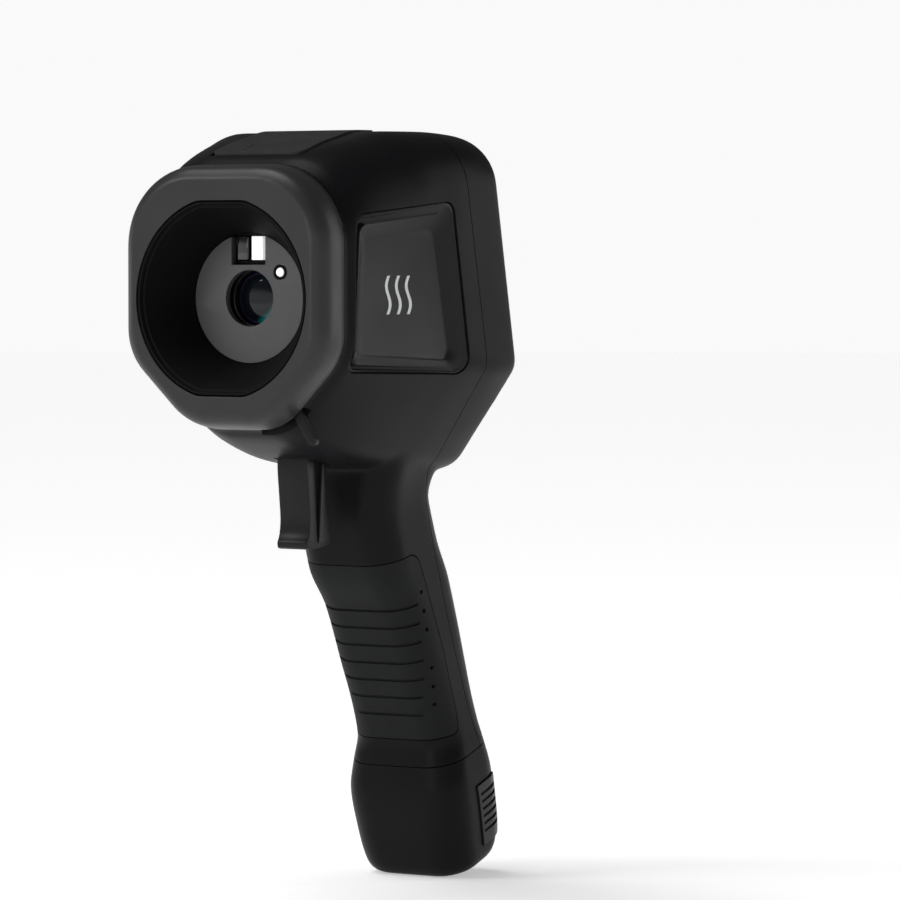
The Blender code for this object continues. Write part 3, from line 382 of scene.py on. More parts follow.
# ------------------------------------------------------------------ finishes
class Term:
    """A number in a material, written with ordinary operators."""

    def __init__(self, shop, socket):
        self.shop, self.socket = shop, socket

    def using(self, operation, *others):
        values = {k: v for k, v in enumerate((self, *others))}
        return self.shop.add("ShaderNodeMath", {"operation": operation}, values).out()

    def __add__(self, other):
        return self.using("ADD", other)

    __radd__ = __add__

    def __mul__(self, other):
        return self.using("MULTIPLY", other)

    __rmul__ = __mul__

    def __sub__(self, other):
        return self.using("SUBTRACT", other)

    def __rsub__(self, other):
        return self * -1.0 + other

    def __truediv__(self, other):
        return self.using("DIVIDE", other)

    def clamped(self):
        return self.using("MAXIMUM", 0.0).using("MINIMUM", 1.0)

    def step(self, low, high):
        """Smooth rise from 0 at low to 1 at high."""
        made = self.shop.add("ShaderNodeMapRange", {"interpolation_type": "SMOOTHSTEP"},
                             {"Value": self, "From Min": low, "From Max": high})
        return made.out("Result")

    def band(self, low, high, soft):
        """1 between low and high, with soft edges."""
        return self.step(low - soft, low + soft) * (1 - self.step(high - soft, high + soft))


class Added:
    """A node just added, for reading its outputs."""

    def __init__(self, shop, node):
        self.shop, self.node = shop, node

    def out(self, name=0):
        return Term(self.shop, self.node.outputs[name])


class Nodes:
    """Adds nodes to one tree."""

    def __init__(self, tree):
        self.tree = tree

    def add(self, kind, settings, values):
        node = self.tree.nodes.new(kind)
        for key, value in settings.items():
            if key == "stops":
                ramp = node.color_ramp
                while len(ramp.elements) < len(value):
                    ramp.elements.new(0.5)
                for element, (at, colour) in zip(ramp.elements, value):
                    element.position, element.color = at, (*colour, 1.0)
            else:
                setattr(node, key, value)
        for key, value in values.items():
            if isinstance(value, Term):
                self.tree.links.new(value.socket, node.inputs[key])
            else:
                node.inputs[key].default_value = value
        return Added(self, node)


class Shop(Nodes):
    """Builds one Principled material."""

    def __init__(self, name, colour, roughness, metallic=0.0, **constants):
        self.material = bpy.data.materials.new(name)
        self.material.use_nodes = True
        super().__init__(self.material.node_tree)
        self.shader = self.tree.nodes["Principled BSDF"]
        self.put("Base Color", (*colour, 1.0))
        self.put("Roughness", roughness)
        self.put("Metallic", metallic)
        for key, value in constants.items():
            self.put(key.replace("_", " ").title().replace("Ior", "IOR"), value)
        self.material.diffuse_color = (*colour, 1.0)
        self.coords = self.add("ShaderNodeTexCoord", {}, {}).out("Object")

    def put(self, socket, value):
        if isinstance(value, Term):
            self.tree.links.new(value.socket, self.shader.inputs[socket])
        else:
            self.shader.inputs[socket].default_value = value

    def noise(self, size, detail=2.0):
        """Noise whose grains are about size millimetres."""
        made = self.add("ShaderNodeTexNoise", {"noise_dimensions": "3D"},
                        {"Vector": self.coords, "Scale": 1.0 / (size * MILLI), "Detail": detail})
        return made.out(0)

    def cells(self, size):
        made = self.add("ShaderNodeTexVoronoi", {"feature": "F1"},
                        {"Vector": self.coords, "Scale": 1.0 / (size * MILLI)})
        return made.out("Distance")

    def mix(self, factor, first, second):
        """Blend of two colours."""
        node = self.add("ShaderNodeMix", {"data_type": "RGBA"}, {0: factor})
        for index, colour in ((6, first), (7, second)):
            if isinstance(colour, Term):
                self.tree.links.new(colour.socket, node.node.inputs[index])
            else:
                node.node.inputs[index].default_value = (*colour, 1.0)
        return node.out(2)

    def relief(self, height, depth, edge=0.0):
        """Bump of a depth in millimetres, over edges rounded in the shading."""
        values = {"Height": height, "Strength": 1.0, "Distance": depth * MILLI}
        if edge:
            bevel = self.add("ShaderNodeBevel", {"samples": 4}, {"Radius": edge * MILLI})
            values["Normal"] = bevel.out()
        self.put("Normal", self.add("ShaderNodeBump", {}, values).out())

    def places(self):
        """The surface's x, y and z in millimetres."""
        apart = self.add("ShaderNodeSeparateXYZ", {}, {0: self.coords})
        return [apart.out(axis) * (1.0 / MILLI) for axis in ("X", "Y", "Z")]


def lighter(colour, factor):
    return tuple(min(1.0, channel * factor) for channel in colour)


def moulded(name, colour, roughness, grain=0.35, depth=0.02, edge=0.35, spread=0.35, **constants):
    """Moulded plastic: fine spark texture, slight mottling and handled sheen."""
    shop = Shop(name, colour, roughness, 0.0, **constants)
    broad, fine, speck = shop.noise(22.0, 3.0), shop.noise(grain, 2.0), shop.cells(grain * 1.6)
    tone = (broad * 0.6 + fine * 0.4).clamped()
    shop.put("Base Color", shop.mix(tone, lighter(colour, 1 - spread), lighter(colour, 1 + spread)))
    shop.put("Roughness", (broad * 0.16 + fine * 0.12 + (roughness - 0.14)).clamped())
    shop.relief(fine * 0.6 + speck * 0.4, depth, edge)
    return shop.material


def rubbery(name, colour, roughness=0.72, edge=0.3):
    """Soft overmould: dusty, with a finer and shallower grain."""
    shop = Shop(name, colour, roughness, 0.0, specular_ior_level=0.14)
    dust, fine = shop.noise(7.0, 4.0), shop.noise(0.22, 3.0)
    tone = (dust * 1.3 - 0.25).clamped()
    shop.put("Base Color", shop.mix(tone, lighter(colour, 0.75), lighter(colour, 1.45)))
    shop.put("Roughness", (dust * 0.18 + (roughness - 0.09)).clamped())
    shop.relief(fine, 0.015, edge)
    return shop.material


def metallic(name, colour, roughness, grain=0.3, depth=0.006, stretch=(1.0, 1.0, 1.0)):
    """Metal with a drawn or blasted surface."""
    shop = Shop(name, colour, roughness, 1.0)
    mapped = shop.add("ShaderNodeMapping", {}, {"Vector": shop.coords, "Scale": stretch}).out()
    shop.coords = mapped
    lines, broad = shop.noise(grain, 3.0), shop.noise(6.0, 2.0)
    shop.put("Base Color", shop.mix(broad, lighter(colour, 0.8), lighter(colour, 1.15)))
    shop.put("Roughness", (lines * 0.22 + (roughness - 0.1)).clamped())
    shop.relief(lines, depth)
    return shop.material


def board_green(name, colour):
    """Solder mask over copper tracks, with gold pads."""
    shop = Shop(name, colour, 0.35)
    x, y, z = shop.places()
    tracks = ((x + z * 0.35) * 2.4).using("SINE").step(0.55, 0.75) * shop.noise(9.0, 0.0).step(0.42, 0.5)
    pads = 1 - shop.cells(3.4).step(0.10, 0.13)
    green = shop.mix(tracks, colour, lighter(colour, 2.6))
    shop.put("Base Color", shop.mix(pads, green, (0.72, 0.52, 0.18)))
    shop.put("Metallic", pads)
    shop.relief(tracks + pads, 0.03)
    return shop.material


def glassy(name, colour, roughness=0.05, smear=0.05, **constants):
    """Polished cover with faint smears."""
    shop = Shop(name, colour, roughness, 0.0, **constants)
    haze = shop.noise(14.0, 4.0)
    shop.put("Roughness", (haze * smear + roughness).clamped())
    shop.put("Base Color", shop.mix(haze, lighter(colour, 0.8), lighter(colour, 1.3)))
    return shop.material


def coated(name):
    """Germanium lens under its coating: dark, with a painted blue-green glint on one side of its rim and
    violet at its edge.
    """
    shop = Shop(name, (0.004, 0.006, 0.008), 0.06, 0.0, specular_ior_level=0.1,
                coat_weight=0.4, coat_roughness=0.02)
    x, y, z = shop.places()
    low = z - LENS_Z
    radius = (x * x + low * low).using("SQRT")
    # painted glint: a blue-green crescent on one side of the rim stands in for a reflection of light
    side = ((x * 0.8 - low * 0.6) / 8.0).step(0.35, 1.0)
    rim = radius.step(4.5, 7.4) * side
    painted_glint = shop.mix(rim, (0.003, 0.005, 0.007), (0.02, 0.42, 0.40))
    shop.put("Base Color", shop.mix(radius.step(7.2, 8.0), painted_glint, (0.05, 0.02, 0.09)))
    shop.put("Roughness", (shop.noise(3.0, 2.0) * 0.05 + 0.04).clamped())
    return shop.material


def lamp(name, colour, strength):
    """Diffusing window with its light on."""
    shop = Shop(name, colour, 0.3, 0.0, emission_strength=strength)
    cells = shop.cells(0.5)
    shop.put("Base Color", shop.mix(cells.clamped(), lighter(colour, 0.85), colour))
    shop.put("Emission Color", shop.mix(cells.clamped(), colour, lighter(colour, 0.9)))
    shop.relief(cells, 0.02)
    return shop.material


def thermal_picture(name):
    """False-colour picture of a warm fitting among cold cables."""
    shop = Shop(name, (0.0, 0.0, 0.01), 0.08, 0.0, emission_strength=1.15)
    x, y, z = shop.places()
    s = x * -1.0
    t = (y - REAR_Y) * UP.y + (z - LEAN_Z) * UP.z - SCREEN_U
    wobble = shop.noise(2.2, 3.0)
    patch = shop.noise(4.5, 2.0)
    sx, tx = s + (wobble - 0.5) * 1.6, t + (wobble - 0.5) * 1.6
    glow_x, glow_t = (s + 4.0) / 19.0, (t - 4.0) / 24.0
    glow = (1 - (glow_x * glow_x + glow_t * glow_t).using("SQRT")).clamped() * 0.34
    block_heat = sx.band(-8.6, 0.8, 0.5) * tx.band(-11.5, 17.0, 0.6)
    core = sx.band(-7.0, -0.8, 0.8) * tx.band(-9.8, 12.0, 0.9)
    lead = (sx + t * 0.08).band(-4.6, -2.4, 0.4) * t.band(-25.0, -10.0, 0.5)
    heat = glow + block_heat * 0.38 + core * (patch * 0.55 + 0.02) + lead * 0.52 + patch * 0.06
    picture = shop.add("ShaderNodeValToRGB", {"stops": [
        (0.00, (0.000, 0.000, 0.060)), (0.12, (0.002, 0.004, 0.210)),
        (0.28, (0.005, 0.110, 0.560)), (0.40, (0.020, 0.520, 0.640)),
        (0.50, (0.030, 0.420, 0.050)), (0.62, (0.860, 0.780, 0.020)),
        (0.78, (0.900, 0.200, 0.015)), (0.90, (0.820, 0.030, 0.120)),
        (1.00, (1.000, 0.850, 0.800))]}, {0: heat.clamped()}).out("Color")
    for foot, lean, width, tint in ((-20.5, 0.13, 0.35, (0.10, 0.08, 0.34)),
                                    (8.6, 0.30, 0.60, (0.06, 0.22, 0.72)),
                                    (19.0, 0.36, 0.55, (0.13, 0.10, 0.40)),
                                    (28.0, 0.38, 0.40, (0.20, 0.18, 0.46))):
        line = (sx + (t + 25.0) * lean).band(foot - width, foot + width, 0.3)
        line = line * (1 - block_heat)
        picture = shop.mix(line * 0.85, picture, tint)
    scale = shop.add("ShaderNodeValToRGB", {"stops": [
        (0.00, (0.010, 0.020, 0.300)), (0.22, (0.080, 0.260, 0.900)),
        (0.42, (0.050, 0.500, 0.080)), (0.62, (0.950, 0.850, 0.050)),
        (0.82, (0.850, 0.030, 0.020)), (1.00, (1.000, 1.000, 1.000))]},
        {0: ((t + 17.5) / 38.0).clamped()}).out("Color")
    bar = s.band(30.3, 32.7, 0.08) * t.band(-17.5, 20.5, 0.08)
    picture = shop.mix(bar, picture, scale)
    ring = (s * s + t * t).using("SQRT").band(2.5, 2.9, 0.08)
    tick = s.band(-0.15, 0.15, 0.05) + t.band(-0.15, 0.15, 0.05)
    arms = (s * s + t * t).using("SQRT").band(1.6, 4.2, 0.1) * tick.clamped()
    picture = shop.mix((ring + arms).clamped(), picture, (0.9, 0.9, 0.9))
    shop.put("Emission Color", picture)
    shop.put("Roughness", (shop.noise(16.0, 3.0) * 0.05 + 0.05).clamped())
    return shop.material


class Finishes:
    """Every finish of the camera, made once."""

    def __init__(self):
        colours = bpy.context.scene.thermal_colours
        black, satin = tuple(colours.housing), tuple(colours.shroud)
        self.housing = moulded("housing black", black, 0.4, 0.32, 0.016, 0.4,
                               specular_ior_level=0.08)
        self.satin = moulded("satin black", satin, 0.4, 0.28, 0.012, 0.5, specular_ior_level=0.32)
        self.panel = moulded("panel black", (0.012, 0.012, 0.013), 0.34, 0.3, 0.012, 0.5,
                             specular_ior_level=0.14)
        self.recess = moulded("recess black", (0.0025, 0.0025, 0.003), 0.7, 0.4, 0.015, 0.2,
                              specular_ior_level=0.1)
        self.face = moulded("face grey", (0.06, 0.06, 0.062), 0.42, 0.25, 0.01, 0.3)
        self.grip = rubbery("grip rubber", (0.007, 0.0075, 0.008), 0.62)
        self.cover = rubbery("cover rubber", tuple(colours.cover), 0.6, 0.6)
        self.keys = rubbery("key rubber", (0.020, 0.021, 0.022), 0.5)
        self.pad = moulded("pad satin", (0.022, 0.022, 0.024), 0.34, 0.3, 0.006, 0.3)
        self.bezel = glassy("bezel gloss", (0.012, 0.013, 0.012), 0.12, 0.06)
        self.window = glassy("dark window", (0.004, 0.004, 0.006), 0.03, 0.03, coat_weight=0.5)
        self.lens = coated("coated lens")
        self.screen = thermal_picture("thermal picture")
        self.lamp = lamp("lamp diffuser", (0.93, 0.93, 0.92), 0.55)
        self.glow = lamp("small light", (0.85, 0.87, 0.88), 0.35)
        self.mark = moulded("pale paint", (0.62, 0.63, 0.64), 0.5, 0.2, 0.004, 0.0, 0.08)
        self.black_metal = metallic("black anodised", (0.02, 0.02, 0.021), 0.4, 0.2)
        self.alloy = metallic("cast alloy", (0.42, 0.42, 0.43), 0.42, 0.35, 0.02)
        self.plaque = metallic("brushed plaque", (0.35, 0.38, 0.40), 0.32, 0.3, 0.006, (0.08, 1, 1))
        self.steel = metallic("plated steel", (0.56, 0.56, 0.57), 0.25, 0.3, 0.004, (1, 1, 0.15))
        self.gold = metallic("gilt contact", (0.75, 0.55, 0.22), 0.24, 0.25, 0.004)
        self.board = board_green("circuit board", (0.010, 0.070, 0.028))
        self.chip = moulded("chip black", (0.015, 0.015, 0.015), 0.4, 0.2, 0.01, 0.2)
        self.sleeve = glassy("cell sleeve", (0.03, 0.09, 0.30), 0.25, 0.15)


# -------------------------------------------------------------- outer surface
def head_ring(station, grow, widest=None, segments=12):
    y, lean, half, top, shoulder, low_half, bottom, r1, r2, r3 = station
    if widest is not None:
        half = min(half, widest)
    corners = [(half, HEIGHT + top), (half, HEIGHT + shoulder), (low_half, HEIGHT + bottom)]
    corners = grown(corners, grow) if grow else corners
    radii = [max(r + grow, 1.0) for r in (r1, r2, r3)]
    shear = DISPLAY_TAN * lean
    return [(x, y - (z - LEAN_Z) * shear, z) for x, z in mirrored_loop(corners, radii, segments)]


def stepped(low, high, pace):
    count = max(1, round((high - low) / pace))
    return [low + (high - low) * k / count for k in range(count + 1)]


def head_form(name, grow, pace=1.6):
    return skin(name, [head_ring(eased(HEAD, y), grow) for y in stepped(HEAD[0][0], HEAD[-1][0], pace)])


def grip_ring(station, grow, along=None, segments=12):
    at, half, front, rear, front_r, rear_r = station
    corners = grown([(half, rear), (half, front)], grow)
    loop = mirrored_loop(corners, [max(rear_r + grow, 1.0), max(front_r + grow, 1.0)], segments)
    return [(x, v, at if along is None else along) for x, v in loop]


def grip_form(name, grow, low=0.0, high=152.0, extra=0.0, pace=2.0):
    heights = stepped(low, high, pace)
    if low == 0.0:
        heights[1:1] = [0.5, 1.2]
    rings = [grip_ring(eased(GRIP, at), grow) for at in heights]
    if extra:
        rings.append(grip_ring(eased(GRIP, high), grow, high + extra))
    return skin(name, rings, False, HANDLE)


def relaxed(ob, steps, group=None):
    mod = ob.modifiers.new("even", "SMOOTH")
    mod.factor, mod.iterations = 0.5, steps
    if group:
        mod.vertex_group = group
    return settled(ob)


def outer_form():
    """Head and grip in one skin, evened out where they meet."""
    settings = bpy.context.scene.thermal_sizes
    body = head_form("outer", 0.0)
    cut(body, grip_form("grip", 0.0), "UNION", "EXACT")
    mod = body.modifiers.new("even", "REMESH")
    mod.mode, mod.voxel_size = "VOXEL", settings.skin_pitch
    settled(body)
    relaxed(body, 4)
    neck = body.vertex_groups.new(name="neck")
    middle = settings.neck_height
    for vertex in body.data.vertices:
        weight = 1.0 - abs(vertex.co.z - middle) / settings.neck_reach
        weight = min(weight, (vertex.co.y - settings.neck_front) / NECK_EASE)
        if weight > 0.0:
            neck.add([vertex.index], min(1.0, weight * 1.6), "REPLACE")
    relaxed(body, settings.neck_steps, "neck")
    body.vertex_groups.clear()
    return body


def cavity():
    rings = []
    for station in HEAD[2:11]:
        y = station[0]
        widest = pocket_floor(y) - POCKET_WALL
        lowered = station[:3] + (station[3] - 0.8,) + station[4:]
        rings.append(head_ring(lowered, -WALL, widest + WALL, 5))
    first = [(x, HEAD[0][0] + WALL, z) for x, y, z in head_ring(HEAD[0], -WALL - 0.6, None, 5)]
    last = [(x, REAR_Y - 6.0 - (z - LEAN_Z) * DISPLAY_TAN, z)
            for x, y, z in head_ring(HEAD[10], -WALL - 0.8, 44.0, 5)]
    inner = skin("inner", [first] + rings + [last])
    return cut(inner, grip_form("grip inner", -WALL, 36.0, 152.0, 2.0), "UNION", "EXACT")


def grip_yz(along, across):
    point = HANDLE @ Vector((0.0, across, along))
    return point.y / MILLI, point.z / MILLI


def cover_seam(shift):
    line = [(6.4 - (z - LEAN_Z) * DISPLAY_TAN + shift, z) for z in (262.0, 196.0, 160.0)]
    line += [(19.4 + shift, 140.0), (21.4 + shift, 128.0)]
    for along, across in ((112.0, 5.4), (80.0, 6.2), (52.0, 8.0), (-30.0, 13.0)):
        y, z = grip_yz(along, across)
        line.append((y + shift, z))
    return line


def pocket_floor(y):
    return POCKET_FLOOR + (y - POCKET_START) * POCKET_FLARE


def key_outline(side, grow):
    w, h, clip = KEY_W / 2 + grow, KEY_H / 2 + grow, 3.4
    points = [(-w, h), (w, h), (w, -h + clip), (w - clip * 1.25, -h), (-w + 1.0, -h), (-w, -h + 1.0)]
    points = [(side * (x + KEY_X), z + KEY_U) for x, z in points]
    return points if side > 0 else points[::-1]


def key_openings(target, top):
    """Cut the keys' openings, from behind the display's face up to top."""
    for side in (-1, 1):
        cut(target, prism("c", key_outline(side, GAP), BEHIND, top, DISPLAY))
    cut(target, prism("c", oblong(NAV_W + PAD_ROOM, NAV_H + PAD_ROOM, 4, (0, NAV_U)), BEHIND, top, DISPLAY))
    cut(target, disc("c", POWER_R + GAP, BEHIND, top, DISPLAY, POWER_AT))


def sleeve_zone(grow, inner, margin):
    """Front wrap of the grip between two skins of its form."""
    wrap = grip_form("wrap", grow, 44.0, 120.0)
    cut(wrap, grip_form("core", inner, 40.0, 124.0))
    edge = [(47.6 - margin, -0.6 + margin), (54.0, 0.6 + margin), (76.0, margin),
            (94.0, -2.2 + margin), (112.4 + margin, -5.0 + margin),
            (113.6 + margin, -30.0), (47.6 - margin, -30.0)]
    zone = rounded_loop([grip_yz(*p) for p in edge], [2.5, 3, 3, 3, 6.0, 0.5, 0.5], 8)
    return cut(wrap, prism("zone", zone, -40.0, 40.0, SIDE), "INTERSECT")


class SkinReach:
    """How far out the side of a piece is, at a place seen from the side."""

    def __init__(self, ob, side=1):
        self.side = side
        self.tree = BVHTree.FromObject(ob, bpy.context.evaluated_depsgraph_get())

    def __call__(self, y, z):
        start = Vector((self.side * 0.08, y * MILLI, z * MILLI))
        return abs(self.tree.ray_cast(start, Vector((-self.side, 0.0, 0.0)))[0].x) / MILLI


class CameraOperator:
    bl_options = {"REGISTER"}
    finishes = None

    @classmethod
    def shop(cls):
        if CameraOperator.finishes is None:
            CameraOperator.finishes = Finishes()
        return CameraOperator.finishes


class THERMAL_OT_housings(CameraOperator, bpy.types.Operator):
    """Make the shroud, main housing, rear cover and battery case from one outer skin"""
    bl_idname = "thermal.housings"
    bl_label = "Housings"

    def execute(self, context):
        outer = outer_form()
        self.battery(outer)
        shell = outer
        cut(shell, cavity())
        self.shroud(twin(shell, "shroud"))
        cut(shell, block("c", (-60, -90, 100), (60, SHROUD_Y + GAP / 2, 270)))
        cut(shell, block("c", (-60, -70, -40), (60, 70, BATTERY_SEAM + GAP / 2), HANDLE))
        rear = twin(shell, "rear")
        cut(shell, prism("c", cover_seam(-GAP / 2) + [(140, -40), (140, 262)], -60, 60, SIDE))
        cut(rear, prism("c", cover_seam(GAP / 2) + [(-140, -40), (-140, 262)], -60, 60, SIDE))
        self.main(shell)
        self.rear(rear)
        return {"FINISHED"}

    def shroud(self, ring):
        cut(ring, block("c", (-60, SHROUD_Y - GAP / 2, 100), (60, 90, 260)))
        cut(ring, block("c", (-60, -90, -20), (60, 90, 140)))
        cut(ring, prism("c", round_outline(31.5, (0, 0), 96, 30.3), -72.0, -55.0, LENS))
        piece(ring, "shroud_ring", "housing", ["front_shroud"], self.shop().satin)

    def main(self, shell):
        reach = SkinReach(shell)
        for side in (-1, 1):
            rim = rounded_loop(POCKET, [POCKET_R] * 4, 6)
            floor = [(side * min(pocket_floor(y), reach(y, z) - 2.6), y, z) for y, z in rim]
            cut(shell, skin("c", [floor, [(side * 60.0, y, z) for y, z in rim]]))
        shelf = block("c", (-COVER_HALF - GAP, COVER_FRONT - GAP, ROOF_LOW),
                      (COVER_HALF + GAP, COVER_REAR + GAP, ROOF_HIGH))
        cut(shelf, head_form("c2", -1.9))
        cut(shell, shelf)
        cut(shell, block("c", (-SOCKET_HALF, SOCKET_FRONT, ROOF_LOW), (SOCKET_HALF, SOCKET_REAR, ROOF_HIGH)))
        cut(shell, sleeve_zone(0.3, -1.7, 0.3))
        half = TRIGGER_HALF + TRIGGER_ROOM
        cut(shell, block("c", (-half, -31.2, 128.0), (half, -14.2, 151.0)))
        pivot = Vector(JOINTS["shutter_turn"]["pos_m"]) / MILLI
        start = math.atan2(LEVER_DROP, LEVER_X)
        low, high = start - math.radians(LEVER_TURN) - 0.36, start + 0.36
        arc = [low + (high - low) * k / 8 for k in range(9)]
        slot = [(pivot.x + 26 * math.cos(a), pivot.z - LENS_Z + 26 * math.sin(a)) for a in arc]
        slot += [(pivot.x + 4 * math.cos(a), pivot.z - LENS_Z + 4 * math.sin(a)) for a in arc[::-1]]
        cut(shell, prism("c", slot, -57.0, -52.9, LENS))
        piece(shell, "housing_main", "housing", ["main_housing"], self.shop().housing)

    def rear(self, cover):
        seat = mirrored_loop(grown(GLASS, GAP), GLASS_RADII, 12)
        cut(cover, prism("c", seat, -2.6, 6.0, DISPLAY))
        cut(cover, prism("c", oblong(SCREEN_W - 2, SCREEN_H - 2, 1.5, (0, SCREEN_U)), BEHIND, 2, DISPLAY))
        key_openings(cover, 2)
        piece(cover, "housing_rear", "housing", ["rear_cover"], self.shop().housing)

    def battery(self, outer):
        case = twin(outer, "case")
        cut(case, block("c", (-70, -200, BATTERY_SEAM - GAP / 2), (70, 200, 300), HANDLE))
        tower = mirrored_loop([(TOWER_HALF, TOWER_REAR), (TOWER_HALF, TOWER_FRONT)], [7.5, 6.0], 8)
        cut(case, prism("c", tower, 30.0, TOWER_TOP, HANDLE), "UNION")
        inner = TOWER_HALF - TOWER_WALL
        bore = mirrored_loop([(inner, TOWER_REAR - TOWER_WALL), (inner, TOWER_FRONT + TOWER_WALL)],
                             [6.2, 4.7], 8)
        cut(case, prism("c", bore, 4.0, TOWER_TOP + 4, HANDLE))
        low, high = span("latch_left", HANDLE)
        for side in (-1, 1):
            cut(case, block("c", (side * 16.3, low[1] - GAP, low[2] - GAP),
                            (side * 30.0, high[1] + GAP, high[2] + GAP), HANDLE))
        cut(case, disc("c", 0.95, -2.0, 3.0, HANDLE, (0.0, 6.0), 24))
        piece(case, "grip_base", "battery", ["battery_case"], self.shop().housing)


class THERMAL_OT_lens(CameraOperator, bpy.types.Operator):
    """Make the recess, face plate, lens, windows and lamp"""
    bl_idname = "thermal.lens"
    bl_label = "Lens recess"

    def execute(self, context):
        shop = self.shop()

        def loop(y, radius, flat=None):
            return [(x, y, z + LENS_Z) for x, z in round_outline(radius, (0, 0), 96, flat)]

        outer = [loop(-67.0, 31.0, 29.8), loop(-69.3, 31.2, 30.0), loop(-69.8, 30.9, 29.7)]
        lip = [loop(-69.8, 30.3, 29.1), loop(-69.2, 30.0, 28.8), loop(-68.6, 29.9, 28.7),
               loop(-68.3, 29.2, 28.0), loop(-67.4, 28.9, 27.7)]
        throat = [loop(-54.2, 20.6), loop(-51.4, 20.6), loop(-51.4, 22.0), loop(-54.2, 22.0)]
        piece(skin("c", outer + lip + throat, True), "recess_cone", "housing",
              ["recess_liner"], shop.recess)

        plate = disc("plate", 20.2, -53.6, -51.2, LENS, (0, 0), 96)
        cut(plate, block("c", (-6.7, -60.0, LENS_Z + 10.4), (5.9, -40.0, LENS_Z + 30.0)))
        cut(plate, disc("c", 8.8, -60, -40, LENS, (0, 0), 64))
        cut(plate, disc("c", 2.5, -60, -40, LENS, EMITTER_AT, 32))
        soften(plate, 0.3)
        piece(plate, "lens_plate", "housing", ["face_plate"], shop.face)

        dome = [(0.05, -48.6), (1.5, -48.57), (3.0, -48.48), (4.5, -48.3), (5.8, -48.05),
                (7.0, -47.7), (7.7, -47.4), (8.0, -47.1), (8.0, -44.6), (0.05, -44.6)]
        piece(turned("c", dome), "germanium_lens", "housing", ["ir_lens"], shop.lens)
        ring = [(8.3, -48.2), (8.7, -48.8), (9.4, -49.0), (11.7, -49.0), (12.0, -48.7), (12.0, -30.0),
                (8.3, -30.0)]
        piece(turned("c", ring, closed=True), "lens_ring", "housing",
              ["lens_barrel"], shop.black_metal)

        for node, name, edge, slot, finish in (
                ("visual_window", "camera_window", 0.25, "dark_window", shop.window),
                ("lamp_window", "lamp_face", 0.3, "lamp_diffuser", shop.lamp)):
            low, high = span(node, LENS)
            window = block("c", (low[0], low[2], low[1] + LENS_Z), (high[0], high[2], high[1] + LENS_Z))
            piece(soften(window, edge), name, "housing", [node], finish)
        dot = [(0.05, -54.1), (0.9, -54.05), (1.3, -53.85), (1.4, -53.2), (2.4, -53.2), (2.4, -49.4),
               (0.05, -49.4)]
        piece(turned("c", dot, at=EMITTER_AT, segments=32), "emitter_face", "housing",
              ["emitter_window"], shop.lamp)
        shade = [(1.45, -53.6), (2.3, -53.75), (2.4, -53.6), (2.4, -53.25), (1.45, -53.25)]
        piece(turned("c", shade, at=EMITTER_AT, segments=32, closed=True), "emitter_ring",
              "housing", [], shop.recess)
        return {"FINISHED"}


class THERMAL_OT_shutter(CameraOperator, bpy.types.Operator):
    """Make the shutter's thumb lever"""
    bl_idname = "thermal.shutter"
    bl_label = "Shutter lever"

    def execute(self, context):
        pivot = Vector(JOINTS["shutter_turn"]["pos_m"]) / MILLI
        px, pz = pivot.x, pivot.z - LENS_Z
        lever = disc("lever", 3.2, -55.4, -50.9, LENS, (px, pz))
        heading = math.atan2(LEVER_DROP, LEVER_X)
        ends = []
        for centre, start in (((px + LEVER_X, pz + LEVER_DROP), -90.0), ((px, pz), 90.0)):
            for k in range(9):
                a = heading + math.radians(start + 22.5 * k)
                ends.append((centre[0] + 1.5 * math.cos(a), centre[1] + 1.5 * math.sin(a)))
        cut(lever, prism("c", ends, -55.4, -53.3, LENS), "UNION")
        cut(lever, disc("c", 1.58, -60, -40, LENS, (px, pz), 32))
        soften(lever, 0.4)
        piece(lever, "thumb_lever", "shutter", ["shutter_lever"], self.shop().panel)
        return {"FINISHED"}


